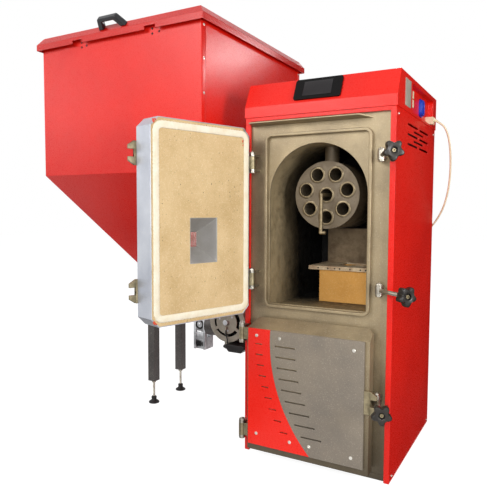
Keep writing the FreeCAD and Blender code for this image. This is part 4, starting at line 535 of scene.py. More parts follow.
def finished_mesh(name, bm, material):
    mesh = bpy.data.meshes.new(name)
    bm.to_mesh(mesh)
    bm.free()
    mesh.materials.append(material)
    return mesh


def piece(name, bm, material, body, stands_for=(), smooth=35):
    """Turns a built mesh into a piece that rides on a body."""
    bmesh.ops.recalc_face_normals(bm, faces=bm.faces)
    mesh = finished_mesh(name, bm, material)
    mesh.shade_smooth()
    mesh.set_sharp_from_angle(angle=math.radians(smooth))
    item = add_object(name, mesh)
    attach(item, body)
    if stands_for:
        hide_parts(*stands_for)


def rounded_path(x, z, radius, step, level):
    """Points round a rectangle with rounded corners, evenly spaced, at one depth."""
    corners = [(x[1], z[0], -90), (x[1], z[1], 0), (x[0], z[1], 90), (x[0], z[0], 180)]
    outline = []
    for cx, cz, start in corners:
        centre = Vector((cx - math.copysign(radius, cx - sum(x) / 2), level,
                         cz - math.copysign(radius, cz - sum(z) / 2)))
        for i in range(CORNER_STEPS + 1):
            angle = math.radians(start + 90 * i / CORNER_STEPS)
            outline.append(centre + Vector((radius * math.cos(angle), 0, radius * math.sin(angle))))
    return resampled(outline, step)


def resampled(points, step):
    """A closed line's points, evenly spaced."""
    loop = points + points[:1]
    total = sum((b - a).length for a, b in zip(loop, loop[1:]))
    count = round(total / step)
    spaced = []
    walked, target = 0.0, 0.0
    for a, b in zip(loop, loop[1:]):
        run = (b - a).length
        while target < walked + run - TINY and len(spaced) < count:
            spaced.append(a.lerp(b, (target - walked) / run))
            target += total / count
        walked += run
    return spaced


def own_box(node, place):
    """A node's lowest and highest corner in a frame."""
    back = place.inverted()
    points = [back @ vert.co for vert in NODES[node].data.vertices]
    low = Vector(min(p[i] for p in points) for i in range(3))
    high = Vector(max(p[i] for p in points) for i in range(3))
    return low, high


# Cords: the power lead from its plug to the gland at the back, and the fan's short lead

LEAD_EXIT = Vector((0.277, 0.206, 1.150))
LEAD_FALL = [
    (0, 0, 0), (17, 4, -11), (29, 11, -33), (37, 23, -68), (40, 39, -120), (38, 56, -182), (30, 74, -244),
    (14, 93, -301), (-11, 112, -351), (-45, 132, -393)]
GLAND_TIP = Vector((0.100, 0.3095, 0.690))
LEAD_RETURN = [(93, 46.5, 36), (54, 59.5, 16), (19, 55.5, 5), (0, 31, 0), (0, 0, 0)]
LEAD_DIAMETER = 0.007
FAN_LEAD = [(-438, -107, 362), (-438, -107, 344), (-430, -107, 326), (-430, -107, 308)]
FAN_LEAD_DIAMETER = 0.005


def cord_curve(name, points, diameter, material, node):
    """A smooth round cord with the route's points as its control points."""
    curve = bpy.data.curves.new(name, "CURVE")
    curve.dimensions = "3D"
    curve.bevel_depth = diameter / 2
    curve.bevel_resolution = 6
    curve.resolution_u = 10
    curve.use_fill_caps = True
    spline = curve.splines.new("NURBS")
    spline.points.add(len(points) - 1)
    for point, place in zip(spline.points, points):
        point.co = (*place, 1)
    spline.order_u = 3
    spline.use_endpoint_u = True
    curve.materials.append(material)
    item = add_object(name, curve)
    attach(item, "boiler")
    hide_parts(node)
    return item


def add_cords():
    route = [LEAD_EXIT + Vector(step) * MM for step in LEAD_FALL]
    route += [GLAND_TIP + Vector(step) * MM for step in LEAD_RETURN]
    power_cord = cord_curve("power_cord", route, LEAD_DIAMETER, LEAD, "power_lead")
    route = [Vector(step) * MM for step in FAN_LEAD]
    cord_curve("fan_cord", route, FAN_LEAD_DIAMETER, BLACK_LEAD, "fan_lead")


add_cords()


# Sealing ropes, braided, on both doors

ROPE_WIDTH = 22 * MM
ROPE_STEP = 1.6 * MM
ROPE_CORNER = 21 * MM
ROPE_SHADING = 80
BRAID_PITCH = 11 * MM
BRAID_STRANDS = 3
BRAID_SIDES = 20
BRAID_RISE, BRAID_SINK = 0.08, 0.05
BRAID_WIDE_POWER, BRAID_TALL_POWER = 0.7, 0.8


def upper_door_frame():
    """The open upper door's own frame, with X along the door from its hinge."""
    hinge = find_joint("upper_door_swing")
    x, y, _ = hinge["pos_m"]
    angle = math.radians(hinge["range_deg"][1])
    return Matrix.Translation((x, y, 0)) @ Matrix.Rotation(-angle, 4, "Z")


UPPER_DOOR = upper_door_frame()


def drawn_out(share, power):
    """A sine or cosine moved away from zero, so that a round section fills its groove's corners."""
    return math.copysign(abs(share) ** power, share)


def braided_rope(name, node, place, body):
    """A flattened braided rope in the groove that its solid fills."""
    low, high = own_box(node, place)
    inset = ROPE_WIDTH / 2
    depth = high.y - low.y
    middle = (low.y + high.y) / 2
    across, upright = (low.x + inset, high.x - inset), (low.z + inset, high.z - inset)
    path = rounded_path(across, upright, ROPE_CORNER, ROPE_STEP, middle)

    def section(i):
        turns = i * ROPE_STEP / BRAID_PITCH
        ring = []
        for j in range(BRAID_SIDES):
            angle = 2 * math.pi * j / BRAID_SIDES
            lay = BRAID_STRANDS * j / BRAID_SIDES
            over = math.sin(2 * math.pi * (turns + lay))
            under = math.sin(2 * math.pi * (turns - lay))
            lift = 1 + BRAID_RISE * max(over, under) - BRAID_SINK
            wide = drawn_out(math.cos(angle), BRAID_WIDE_POWER)
            tall = drawn_out(math.sin(angle), BRAID_TALL_POWER)
            ring.append((wide * inset * lift, tall * depth / 2 * lift))
        return ring

    bm = bmesh.new()
    sweep(bm, path, section, BACK)
    bmesh.ops.transform(bm, matrix=place, verts=bm.verts)
    piece(name, bm, ROPE, body, [node], smooth=ROPE_SHADING)


braided_rope("upper_braid", "upper_door_rope", UPPER_DOOR, "upper_door")
braided_rope("lower_braid", "lower_door_rope", PART_FRAME, "lower_door")


# Screws and nuts, each turned at random about its own axis

SCREW_SINK = 0.4 * MM


def turned_at_random(place, direction):
    return aim(place, direction, random.uniform(0, 1))


def button_screw(bm, place, direction, radius):
    """A domed screw with a hexagon socket on a thin washer."""
    washer = radius * 1.45
    seat = radius * 0.22
    top = radius * 0.62
    lathe(bm, turned_at_random(place, direction), [
        (washer, -SCREW_SINK), (washer, radius * 0.16), (radius * 1.38, seat), (radius, seat),
        (radius * 0.97, radius * 0.36), (radius * 0.8, top * 0.9), (radius * 0.55, top),
        (radius * 0.5, top, hexagon), (radius * 0.46, top * 0.12, hexagon), (0, top * 0.1)])


def hex_nut(bm, place, direction, across, height, bore):
    """A chamfered nut with the end of its bolt standing in it."""
    reach = across / math.sqrt(3)
    tip = height * 1.3
    lathe(bm, turned_at_random(place, direction), [
        (reach * 0.9, 0), (reach, height * 0.1, hexagon), (reach, height * 0.86, hexagon),
        (reach * 0.84, height), (bore, height), (bore, height * 1.12), (bore * 0.8, tip), (0, tip)])


def hex_head(bm, place, direction, across, height):
    """A bolt's head, a little lower than its nut."""
    reach = across / math.sqrt(3)
    top = height * 0.85
    lathe(bm, turned_at_random(place, direction), [
        (reach * 0.9, 0), (reach, height * 0.1, hexagon), (reach, height * 0.7, hexagon),
        (reach * 0.82, top), (0, top)])


def screws(name, body, places, radius):
    bm = bmesh.new()
    for place, direction in places:
        button_screw(bm, place, direction, radius)
    piece(name, bm, BRIGHT_ZINC, body)


# Screws of the lower door's covers (x, z) and of the side panels (y, z), in millimetres

COVER_SCREWS = [(-177, 418), (-177, 90), (-56, 85), (-94, 417), (152, 410), (11, 85), (147, 80)]
COVER_SCREW_RADIUS = 3.7 * MM
PANEL_SCREWS = [(-262, 1112), (262, 1112), (266, 14), (-256, 14)]
PANEL_SCREW_RADIUS = 3.6 * MM


def add_cover_screws():
    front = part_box("cover_grey")[0].y
    places = [(Vector((x * MM, front, z * MM)), FORWARD) for x, z in COVER_SCREWS]
    screws("cover_screws", "lower_door", places, COVER_SCREW_RADIUS)


def add_panel_screws():
    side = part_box("side_panel_right")[1].x
    places = []
    for y, z in PANEL_SCREWS:
        places.append((Vector((side, y * MM, z * MM)), RIGHT))
        places.append((Vector((-side, y * MM, z * MM)), LEFT))
    screws("panel_screws", "boiler", places, PANEL_SCREW_RADIUS)


add_cover_screws()
add_panel_screws()


# Hopper: the front and rear sheets' folded flanges, with their screws

FLANGE_WIDTH = 27 * MM
FLANGE_GAUGE = 2 * MM
FLANGE_LAP = 1 * MM
FLANGE_EDGE = 0.7 * MM
FLANGE_SCREW_LEVELS = [1436, 1327, 1214, 1100, 985]


def add_hopper_flanges():
    low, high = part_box("hopper_walls")
    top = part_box("hopper_rim")[0].z + FLANGE_LAP
    bm = bmesh.new()
    places = []
    for wall, direction in ((high.x, RIGHT), (low.x, LEFT)):
        face = wall + direction.x * FLANGE_GAUGE
        x = sorted((wall, face))
        for edge, inward in ((low.y, 1), (high.y, -1)):
            y = sorted((edge, edge + inward * FLANGE_WIDTH))
            block(bm, PART_FRAME, (x[0], y[0], low.z), (x[1], y[1], top), FLANGE_EDGE)
            for level in FLANGE_SCREW_LEVELS:
                places.append((Vector((face, sum(y) / 2, level * MM)), direction))
    piece("hopper_flanges", bm, RED, "boiler")
    screws("hopper_screws", "boiler", places, PANEL_SCREW_RADIUS)


add_hopper_flanges()


# Star knobs with a bolt end in the middle, and the threads of the swing bolts

BOLT_NAMES = ("top", "middle", "lower")
KNOB_LOBES = 5
LOBE_DEPTH = 0.16
SOFT_INSET = 0.04
KNOB_SIDES = 60
BOLT_RADIUS = 6 * MM
BOLT_PITCH = 1.75 * MM
BOLT_THREAD = (52 * MM, 100.5 * MM)
THREAD_SIDES = 14
THREAD_STEPS = 4
THREAD_ROOT = 0.1 * MM
THREAD_DEPTH = 0.55 * MM
THREAD_SHADING = 60


def star(angle):
    """A star knob's radius at an angle, as a share of its largest."""
    return 1 - LOBE_DEPTH + LOBE_DEPTH * math.sin(KNOB_LOBES * angle + math.pi)


def soft_star(angle):
    """The star at half its depth, on the way to the knob's neck and crown."""
    return (1 + star(angle)) / 2 - SOFT_INSET


# Rings of (radius, distance from the bolt's pivot) in millimetres
KNOB_PROFILE = [
    (8, 101), (13.2, 101), (14, 102), (14, 111.5), (19, 113, soft_star), (27.5, 113.6, star),
    (29.6, 116, star), (30, 120, star), (30, 130, star), (29.3, 133.6, star), (27, 136, star),
    (23, 137, soft_star), (15, 136.4), (10, 136), (9.2, 135.4), (9, 128), (0, 127.6)]
BOLT_END_PROFILE = [(6, 126), (6, 131), (5, 132), (3.2, 132, hexagon), (3, 128.5, hexagon), (0, 128.5)]


def threaded(bm, place, radius, start, end, pitch):
    """A screw thread between two levels, which runs out at both."""
    rings = []
    count = int((end - start) / pitch * THREAD_STEPS)
    for i in range(count + 1):
        taper = min(1, i / THREAD_STEPS, (count - i) / THREAD_STEPS)
        height = start + (end - start) * i / count
        ring = []
        for j in range(THREAD_SIDES):
            turn = (i / THREAD_STEPS - j / THREAD_SIDES) % 1
            crest = 1 - abs(2 * turn - 1)
            reach = radius + THREAD_ROOT + THREAD_DEPTH * crest * taper
            ring.append(bm.verts.new(place @ polar(reach, 2 * math.pi * j / THREAD_SIDES, height)))
        rings.append(ring)
    join_rings(bm, rings)
    bm.faces.new(rings[0][::-1])
    bm.faces.new(rings[-1])


def bolt_frame(name):
    """A swing bolt's frame at rest, with Z along the bolt from its pivot to its knob."""
    swing = find_joint(f"bolt_{name}_swing")
    turned = Matrix.Rotation(math.radians(swing["range_deg"][1]), 4, "Z")
    return aim(Vector(swing["pos_m"]), turned @ FORWARD)


def add_bolt_dress(name):
    place = bolt_frame(name)
    knob, end, thread = bmesh.new(), bmesh.new(), bmesh.new()
    lathe(knob, place, KNOB_PROFILE, KNOB_SIDES, unit=MM)
    piece(f"star_knob_{name}", knob, KNOB_BLACK, f"star_knob_{name}", [f"knob_{name}"])
    lathe(end, place, BOLT_END_PROFILE, unit=MM)
    piece(f"bolt_end_{name}", end, PASSIVATED, f"swing_bolt_{name}")
    threaded(thread, place, BOLT_RADIUS, *BOLT_THREAD, BOLT_PITCH)
    piece(f"bolt_thread_{name}", thread, ZINC, f"swing_bolt_{name}", smooth=THREAD_SHADING)


for bolt_name in BOLT_NAMES:
    add_bolt_dress(bolt_name)


# Levelling feet with flared rubber bases: (share of the foot's radius, height in millimetres)

FOOT_PROFILE = [
    (0, 0), (0.96, 0), (1, 1.5), (1, 4), (0.92, 6), (0.6, 11), (0.45, 15), (0.43, 18), (0.5, 19), (0.5, 26),
    (0.4, 28), (0, 28)]
SPINDLE_RADIUS = 4.4 * MM
SPINDLE_START = 27 * MM
SPINDLE_PITCH = 2 * MM
FOOT_NUT = (17 * MM, 7.5 * MM, 5 * MM)
FOOT_NUT_DROP = 8 * MM


def add_feet():
    low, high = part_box("hopper_feet")
    radius = (high.x - low.x) / 2
    middle = (low.x + high.x) / 2
    nut_level = high.z - FOOT_NUT_DROP
    profile = [(radius * share, height * MM) for share, height in FOOT_PROFILE]
    bases, spindles = bmesh.new(), bmesh.new()
    for y in (low.y + radius, high.y - radius):
        place = Matrix.Translation((middle, y, 0))
        lathe(bases, place, profile, FINE_SIDES)
        threaded(spindles, place, SPINDLE_RADIUS, SPINDLE_START, nut_level, SPINDLE_PITCH)
        hex_nut(spindles, Vector((middle, y, nut_level)), UP, *FOOT_NUT)
    piece("foot_bases", bases, RUBBER, "boiler", ["hopper_feet"])
    piece("foot_spindles", spindles, ZINC, "boiler")


add_feet()


# Display glass on the top's sloping face

CAP_FOLD = Vector((0, -290.5, 1166)) * MM
CAP_LEAN = math.atan2(38, 80)
CAP_FACE = Matrix.Translation(CAP_FOLD) @ Matrix.Rotation(-CAP_LEAN, 4, "X")
SCREEN_HALF_WIDTH, SCREEN_HALF_HEIGHT = 47.5 * MM, 26.5 * MM
SCREEN_RISE, SCREEN_SINK = 0.25 * MM, 0.3 * MM
SCREEN_EDGE = 0.2 * MM


def add_display():
    low, high = own_box("control_panel", CAP_FACE)
    middle = (low.z + high.z) / 2
    bm = bmesh.new()
    block(bm, CAP_FACE, (-SCREEN_HALF_WIDTH, low.y - SCREEN_RISE, middle - SCREEN_HALF_HEIGHT),
          (SCREEN_HALF_WIDTH, low.y + SCREEN_SINK, middle + SCREEN_HALF_HEIGHT), SCREEN_EDGE)
    piece("screen_glass", bm, SCREEN, "boiler")


add_display()


# Fittings in the right side of the top: socket, terminal strip and a blank label

BAY_FLOOR = 235 * MM
FITTING_SINK = 0.5 * MM
SOCKET_HALF_WIDTH, SOCKET_HALF_HEIGHT = 24 * MM, 31 * MM
SOCKET_SIDES = 48

# Rings of (share of the socket's half width, height in millimetres)
SOCKET_PROFILE = [
    (1, -0.5), (1, 4), (0.95, 5), (0.88, 5), (0.86, 10), (0.8, 11.6), (0.6, 12), (0.56, 10), (0.3, 9.4),
    (0, 9.2)]

# Blocks of (y span, z span, height, edge radius) in millimetres
TERMINAL_BLOCKS = [
    ((0, 26), (-26, -2), 14.5, 1.4), ((0, 26), (2, 26), 14.5, 1.4), ((2, 24), (-24, 24), 9, 0.8)]
LABEL_Y, LABEL_Z = (-201, -126), (1147, 1230)
LABEL_RISE, LABEL_SINK = 0.7 * MM, 0.4 * MM
LABEL_EDGE = 0.4 * MM


def pillow(angle):
    """The socket's round-cornered outline: its radius at an angle, as a share of its half width."""
    tall = math.sin(angle) * SOCKET_HALF_WIDTH / SOCKET_HALF_HEIGHT
    return (math.cos(angle) ** 4 + tall ** 4) ** -0.25


def add_socket():
    low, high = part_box("side_connectors")
    centre = Vector((BAY_FLOOR, high.y - SOCKET_HALF_WIDTH, (low.z + high.z) / 2))
    profile = [(SOCKET_HALF_WIDTH * share, height * MM) for share, height in SOCKET_PROFILE]
    bm = bmesh.new()
    lathe(bm, aim(centre, RIGHT), profile, SOCKET_SIDES, pillow)
    piece("blue_socket", bm, BLUE, "boiler", ["side_connectors"])


def add_terminals():
    low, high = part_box("side_connectors")
    level = (low.z + high.z) / 2
    bm = bmesh.new()
    for (near, far), (bottom, top), height, edge in TERMINAL_BLOCKS:
        block(bm, PART_FRAME, (BAY_FLOOR - FITTING_SINK, low.y + near * MM, level + bottom * MM),
              (BAY_FLOOR + height * MM, low.y + far * MM, level + top * MM), edge * MM)
    piece("terminal_strip", bm, CREAM, "boiler", ["side_connectors"])


def add_label():
    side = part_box("top_cover")[1].x
    bm = bmesh.new()
    block(bm, PART_FRAME, (side - LABEL_SINK, LABEL_Y[0] * MM, LABEL_Z[0] * MM),
          (side + LABEL_RISE, LABEL_Y[1] * MM, LABEL_Z[1] * MM), LABEL_EDGE)
    piece("blank_label", bm, LABEL, "boiler")


add_socket()
add_terminals()
add_label()


# Nuts and heads on the hinge pins, given as (x, y) and levels, and on the swing bolts' pivots

HINGE_PINS = [((-214, -309.5), (982, 598)), ((-244, -317.5), (416, 86))]
HINGE_REACH = 26.8 * MM
HINGE_NUT = (18 * MM, 8 * MM, 5.6 * MM)
PIVOT_REACH = 13.3 * MM
PIVOT_NUT = (17 * MM, 7 * MM, 5 * MM)


def pin_ends(bm, place, reach, across, height, bore):
    """A nut over a pin's lug and a bolt head under it."""
    hex_nut(bm, place + UP * reach, UP, across, height, bore)
    hex_head(bm, place + DOWN * reach, DOWN, across, height)


def add_pin_ends():
    bm = bmesh.new()
    for (x, y), levels in HINGE_PINS:
        for level in levels:
            pin_ends(bm, Vector((x, y, level)) * MM, HINGE_REACH, *HINGE_NUT)
    for name in BOLT_NAMES:
        pin_ends(bm, Vector(find_joint(f"bolt_{name}_swing")["pos_m"]), PIVOT_REACH, *PIVOT_NUT)
    piece("pin_nuts", bm, ZINC, "boiler")


add_pin_ends()


# Fire tubes: weld beads on the drum and bright ground ends

TUBE_RING = 73.5 * MM
TUBE_COUNT = 7
DRUM_LEVEL = 878 * MM
BEAD_SIDES = 60
RIM_SIDES = 48

# In millimetres: a tube's radius, and rings of (radius, height)
TUBE_RADIUS = 24.15
RIM_PROFILE = [
    (TUBE_RADIUS - 3.7, -4), (TUBE_RADIUS + 0.15, -1.5), (TUBE_RADIUS + 0.15, 0), (TUBE_RADIUS - 0.9, 0.6),
    (TUBE_RADIUS - 2.7, 0.6), (TUBE_RADIUS - 3.7, 0)]


def bead_profile(phase):
    """A weld's section round a tube, in millimetres, with a rippled outer side."""

    def ripple(angle):
        return 1 + 0.012 * math.sin(21 * angle + phase) + 0.014 * math.sin(5 * angle + 2 * phase)

    return [
        (TUBE_RADIUS - 0.4, -0.5), (TUBE_RADIUS + 4.4, -0.5, ripple), (TUBE_RADIUS + 3.6, 1.1, ripple),
        (TUBE_RADIUS + 1.8, 2.0, ripple), (TUBE_RADIUS - 0.4, 2.2)]


def add_tube_ends():
    drum_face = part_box("exchanger_drum")[0].y
    tube_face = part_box("fire_tubes")[0].y
    centres = [(0.0, DRUM_LEVEL)]
    for i in range(TUBE_COUNT):
        angle = 2 * math.pi * i / TUBE_COUNT - math.pi / 2
        centres.append((TUBE_RING * math.cos(angle), DRUM_LEVEL + TUBE_RING * math.sin(angle)))
    beads, rims = bmesh.new(), bmesh.new()
    for x, z in centres:
        bead = bead_profile(random.uniform(0, 6))
        lathe(beads, aim((x, drum_face, z), FORWARD), bead, BEAD_SIDES, closed=True, unit=MM)
        lathe(rims, aim((x, tube_face, z), FORWARD), RIM_PROFILE, RIM_SIDES, closed=True, unit=MM)
    piece("tube_welds", beads, WELD, "boiler")
    piece("tube_rims", rims, ROD_STEEL, "boiler")


add_tube_ends()


# Dark domes that stand for the shaded notches along the burner's flange (x) and the shaded holes on the
# hopper's front (x, z), in millimetres: painted shade

FLANGE_NOTCH_SHADES = [-64, -27, -2, 16, 53, 90, 108, 148]
FLANGE_NOTCH_SHADE_RADIUS = 2.6 * MM
FLANGE_NOTCH_SHADE_DROP = 1.5 * MM
RIM_HOLE_SHADES = [(-905, 1450), (-905, 1433), (-880, 1436), (-570, 1450), (-570, 1433), (-540, 1436)]
RIM_HOLE_SHADE_RADIUS = 3.8 * MM
SHADE_DOME_SEAT = 0.3 * MM
SHADE_DOME_SIDES = 16


def shade_dome(bm, place, direction, radius):
    lathe(bm, aim(place, direction), [
        (radius, -SHADE_DOME_SEAT), (radius, SHADE_DOME_SEAT), (radius * 0.75, radius * 0.5),
        (radius * 0.35, radius * 0.68), (0, radius * 0.72)], SHADE_DOME_SIDES)


def add_shade_domes():
    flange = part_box("burner_retort")[0].y
    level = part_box("burner_boards")[1].z - FLANGE_NOTCH_SHADE_DROP
    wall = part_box("hopper_walls")[0].y
    bm = bmesh.new()
    for x in FLANGE_NOTCH_SHADES:
        shade_dome(bm, Vector((x * MM, flange, level)), FORWARD, FLANGE_NOTCH_SHADE_RADIUS)
    for x, z in RIM_HOLE_SHADES:
        shade_dome(bm, Vector((x * MM, wall, z * MM)), FORWARD, RIM_HOLE_SHADE_RADIUS)
    # Black rubber domes as painted shade in the holes and notches.
    piece("hole_shade_domes", bm, RUBBER, "boiler")


add_shade_domes()


# Fan: hub cap with three screws, and the junction box's gland, with profiles in millimetres

FAN_AXIS_X, FAN_AXIS_Z = -0.438, 0.391
HUB_PROFILE = [(11.3, -10), (11.3, -1), (10.4, 0.6), (6, 0.9), (5.6, 0.2), (0, 0)]
HUB_DEPTH = 10 * MM
HUB_SCREWS = 3
HUB_SCREW_ANGLE = 40
HUB_SCREW_RING = 33 * MM
HUB_SCREW_RADIUS = 2.6 * MM
GLAND_PROFILE = [(9, -1), (9, 7), (7.6, 8), (7, 17), (5.4, 20), (0, 20.4)]
GLAND_INSET = 22 * MM


def add_fan_hub():
    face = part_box("fan_motor")[0].y
    bm = bmesh.new()
    lathe(bm, aim((FAN_AXIS_X, face, FAN_AXIS_Z), FORWARD), HUB_PROFILE, FINE_SIDES, unit=MM)
    for i in range(HUB_SCREWS):
        angle = math.radians(360 / HUB_SCREWS * i + HUB_SCREW_ANGLE)
        x = FAN_AXIS_X + HUB_SCREW_RING * math.cos(angle)
        z = FAN_AXIS_Z + HUB_SCREW_RING * math.sin(angle)
        button_screw(bm, Vector((x, face + HUB_DEPTH, z)), FORWARD, HUB_SCREW_RADIUS)
    piece("fan_hub_cap", bm, ALUMINIUM, "boiler")


def add_box_gland():
    low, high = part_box("junction_box")
    bm = bmesh.new()
    place = aim((low.x, low.y + GLAND_INSET, (low.z + high.z) / 2), LEFT)
    lathe(bm, place, GLAND_PROFILE, FINE_SIDES, unit=MM)
    piece("box_gland", bm, BLACK, "boiler")


add_fan_hub()
add_box_gland()


# Traces of red sealant beside the rope's corners: (x along the door, z, radius) in millimetres

SEALANT_SPOTS = [
    (393, 1075, 5), (387, 1079, 3), (394, 506, 5), (388, 502, 3), (57, 1046, 3.5), (56, 1034, 2.5)]
SEALANT_SIDES = 28


def sealant_profile(radius, phase):
    """A flat drop with a ragged outline."""

    def ragged(angle):
        return 1 + 0.25 * math.sin(2 * angle + phase) + 0.15 * math.sin(5 * angle - phase)

    return [(radius, -0.3, ragged), (radius * 0.9, 0.5, ragged), (radius * 0.5, 1.2, ragged), (0, 1.3)]


def add_sealant():
    face = own_box("upper_door_insulation", UPPER_DOOR)[1].y
    bm = bmesh.new()
    for x, z, radius in SEALANT_SPOTS:
        place = UPPER_DOOR @ aim((x * MM, face, z * MM), BACK)
        lathe(bm, place, sealant_profile(radius, random.uniform(0, 6)), SEALANT_SIDES, unit=MM)
    piece("sealant_traces", bm, SEALANT, "upper_door")


add_sealant()


# Gear motors: a front frame with its ring seal and the winding between the posts.
# Each motor is (x of its right side, level of its shaft) in millimetres.

MOTORS = [(-797, 482), (-592, 348)]
MOTOR_FRONT = -13 * MM
MOTOR_FOOT = 105 * MM
MOTOR_HALF_WIDTH = 29 * MM
FRAME_BACK = -9 * MM
FRAME_TOP = 27 * MM
POST_STARTS = (58 * MM, 11 * MM)
POST_WIDTH = 11 * MM
POST_RISE = 7 * MM
POST_EDGE = 1.2 * MM
POST_SCREW_LEVEL = 9 * MM
POST_SCREW_RADIUS = 3 * MM
PLATE_LEVELS = [(-28, 27), (-64, -33)]
PLATE_START, PLATE_END = 48 * MM, 10 * MM
PLATE_RISE = 3 * MM
PLATE_EDGE = 1 * MM
BEARING_PROFILE = [(13, -0.5), (13, 1.5), (12, 2.4), (6, 2.4), (5.6, 4), (4.6, 4.6), (0, 4.6)]
SEAL_RISE = 1.5 * MM
SEAL_RADIUS, SEAL_THICKNESS = 16.5 * MM, 3.6 * MM
WINDING_TURNS = 6
WINDING_START, WINDING_STEP = 46 * MM, 6.8 * MM
WINDING_Y = 3 * MM
WINDING_LEVEL = 22 * MM
WINDING_RADIUS, WINDING_THICKNESS = 17 * MM, 2.4 * MM
SEAL_RINGS = 12
SEAL_SIDES = 40


def ring_seal(bm, place, direction, radius, thickness):
    """A round ring of round section."""
    profile = []
    for i in range(SEAL_RINGS):
        angle = 2 * math.pi * i / SEAL_RINGS
        profile.append((radius + thickness * math.cos(angle), thickness * math.sin(angle)))
    lathe(bm, aim(place, direction), profile, SEAL_SIDES, closed=True)


def motor_frame(bm, right, axis, foot):
    """Two posts with a screw each, the plates between them and the shaft's bearing."""
    front = MOTOR_FRONT - POST_RISE
    for start in POST_STARTS:
        x = right - start
        block(bm, PART_FRAME, (x, front, foot), (x + POST_WIDTH, FRAME_BACK, axis.z + FRAME_TOP), POST_EDGE)
        screw = Vector((x + POST_WIDTH / 2, front, foot + POST_SCREW_LEVEL))
        button_screw(bm, screw, FORWARD, POST_SCREW_RADIUS)
    for low, high in PLATE_LEVELS:
        block(bm, PART_FRAME, (right - PLATE_START, MOTOR_FRONT - PLATE_RISE, axis.z + low * MM),
              (right - PLATE_END, FRAME_BACK, axis.z + high * MM), PLATE_EDGE)
    lathe(bm, aim(axis, FORWARD), BEARING_PROFILE, FINE_SIDES, unit=MM)


def motor_seals(bm, right, axis, foot):
    """The ring seal round the bearing, and the winding's turns."""
    ring_seal(bm, axis + FORWARD * SEAL_RISE, FORWARD, SEAL_RADIUS, SEAL_THICKNESS)
    for i in range(WINDING_TURNS):
        turn = Vector((right - WINDING_START + WINDING_STEP * i, WINDING_Y, foot + WINDING_LEVEL))
        ring_seal(bm, turn, RIGHT, WINDING_RADIUS, WINDING_THICKNESS)


def add_motor_dress():
    frames, seals = bmesh.new(), bmesh.new()
    for side, level in MOTORS:
        right = side * MM
        axis = Vector((right - MOTOR_HALF_WIDTH, MOTOR_FRONT - PLATE_RISE, level * MM))
        foot = axis.z - MOTOR_FOOT
        motor_frame(frames, right, axis, foot)
        motor_seals(seals, right, axis, foot)
    piece("motor_frames", frames, ALUMINIUM, "boiler")
    piece("motor_seals", seals, RUBBER, "boiler")


add_motor_dress()


# Stage and light

FLOOR_REACH = 14
FLOOR_TONE = (0.26, 0.26, 0.26, 1)
FLOOR_SEEN = (0.92, 0.92, 0.92, 1)
NO_GLOW = (0, 0, 0, 1)
WALL_CARD_X, WALL_CARD_Y, WALL_CARD_TOP = (-0.3, 3.6), 0.78, 2.6
FLOOR_CARDS = [((0.2505, 3.6), (-0.5, 0.77)), ((-1.7, -0.3), (-1.3, -0.32))]
FLOOR_CARD_LEVEL = 3 * MM
WORLD_LIGHT = 0.33
WORLD_SEEN = 1.0


def seen_directly(tree):
    """1 for rays of the camera, gloss and glass, and 0 for those that light matte surfaces."""
    path = tree.nodes.new("ShaderNodeLightPath")
    seen = path.outputs["Is Camera Ray"]
    for ray in ("Is Glossy Ray", "Is Transmission Ray"):
        join = tree.nodes.new("ShaderNodeMath")
        join.operation = "MAXIMUM"
        tree.links.new(seen, join.inputs[0])
        tree.links.new(path.outputs[ray], join.inputs[1])
        seen = join.outputs[0]
    return seen


def floor_paper():
    """Matte paper that also glows where it is seen directly, so that it looks pale."""
    finish = Finish("floor_paper")
    finish.tree.nodes.remove(finish.shader)
    matte = finish.add("ShaderNodeBsdfDiffuse", {"Color": FLOOR_TONE})
    shade = finish.mix(seen_directly(finish.tree), NO_GLOW, FLOOR_SEEN)
    glow = finish.add("ShaderNodeEmission", {"Color": shade})
    both = finish.add("ShaderNodeAddShader", {0: matte.outputs[0], 1: glow.outputs[0]})
    finish.put(finish.output.inputs["Surface"], both.outputs[0])
    return finish.material


def add_floor():
    bm = bmesh.new()
    bmesh.ops.create_grid(bm, x_segments=2, y_segments=2, size=FLOOR_REACH)
    floor = add_object("floor", finished_mesh("floor", bm, floor_paper()))


def add_flag():
    """Dark cards that only reflections see, so that the right side and the slopes keep their colour."""
    (left, right), depth, top = WALL_CARD_X, WALL_CARD_Y, WALL_CARD_TOP
    cards = [[(left, depth, 0), (right, depth, 0), (right, depth, top), (left, depth, top)]]
    for (left, right), (front, back) in FLOOR_CARDS:
        corners = ((left, front), (right, front), (right, back), (left, back))
        cards.append([(x, y, FLOOR_CARD_LEVEL) for x, y in corners])
    bm = bmesh.new()
    for card in cards:
        bm.faces.new([bm.verts.new(corner) for corner in card])
    flag = add_object("flag", finished_mesh("flag", bm, FLAG_CLOTH))
    for ray in ("camera", "diffuse", "shadow", "transmission"):
        setattr(flag, f"visible_{ray}", False)


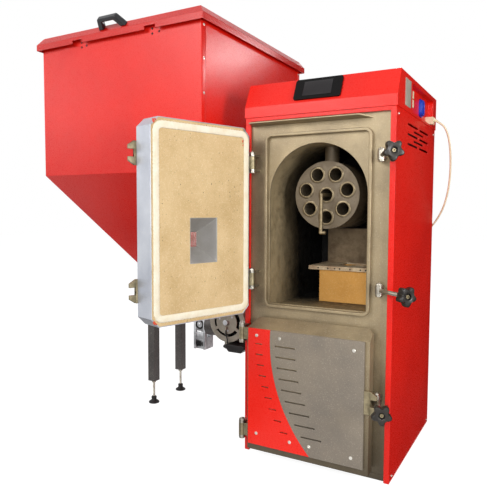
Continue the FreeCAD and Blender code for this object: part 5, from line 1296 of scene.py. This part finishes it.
def add_world():
    """Even light from all round, which is white where it is seen directly."""
    world = bpy.data.worlds.new("studio")
    bpy.context.scene.world = world
    world.use_nodes = True
    tree = world.node_tree
    tree.nodes.clear()
    strength = tree.nodes.new("ShaderNodeMapRange")
    strength.inputs["To Min"].default_value = WORLD_LIGHT
    strength.inputs["To Max"].default_value = WORLD_SEEN
    tree.links.new(seen_directly(tree), strength.inputs["Value"])
    back = tree.nodes.new("ShaderNodeBackground")
    back.inputs["Color"].default_value = (1, 1, 1, 1)
    tree.links.new(strength.outputs["Result"], back.inputs["Strength"])
    out = tree.nodes.new("ShaderNodeOutputWorld")
    tree.links.new(back.outputs[0], out.inputs["Surface"])


def add_lamp(name, place, target, size, power, gloss_only=False):
    """A soft lamp that the camera doesn't see; one for gloss alone adds no light to matte surfaces."""
    lamp = bpy.data.lights.new(name, "AREA")
    lamp.shape = "RECTANGLE"
    lamp.size, lamp.size_y = size
    lamp.energy = power
    item = add_object(name, lamp)
    turned = (Vector(target) - Vector(place)).to_track_quat("-Z", "Y").to_matrix().to_4x4()
    item.matrix_world = Matrix.Translation(place) @ turned
    item.visible_camera = False
    item.visible_diffuse = not gloss_only


# Lamps of (name, place, target, size, power)
LAMPS = [
    ("key", (-1.6, -3.2, 2.6), (-0.6, -0.2, 1.0), (1.6, 1.2), 60),
    ("front", (0.9, -2.9, 1.4), (-0.1, -0.3, 0.7), (0.9, 1.2), 28),
    ("right", (2.1, -1.2, 1.1), (-0.1, -0.3, 1.0), (0.6, 0.8), 36),
    ("top", (-0.2, 0.2, 3.6), (-0.3, 0.1, 0.9), (2.0, 2.0), 5),
    ("back", (-1.4, 3.4, 2.0), (-0.4, 0.4, 0.8), (1.8, 1.4), 48)]
GLOSS_LAMPS = [
    ("hopper_gloss", (0.144, 0.55, 1.63), (-0.368, -0.26, 1.36), (0.32, 0.1), 2.2),
    ("edge_gloss", (-2.84, -1.9, 1.67), (-1.09, -0.38, 1.25), (0.25, 0.9), 5),
    ("front_gloss", (-0.6, -2.3, 1.45), (0.1, -0.29, 1.1), (0.5, 0.5), 3.5)]

add_floor()
add_flag()
add_world()
for lamp_entry in LAMPS:
    add_lamp(*lamp_entry)
for lamp_entry in GLOSS_LAMPS:
    add_lamp(*lamp_entry, gloss_only=True)
bpy.context.scene.view_settings.view_transform = "Standard"
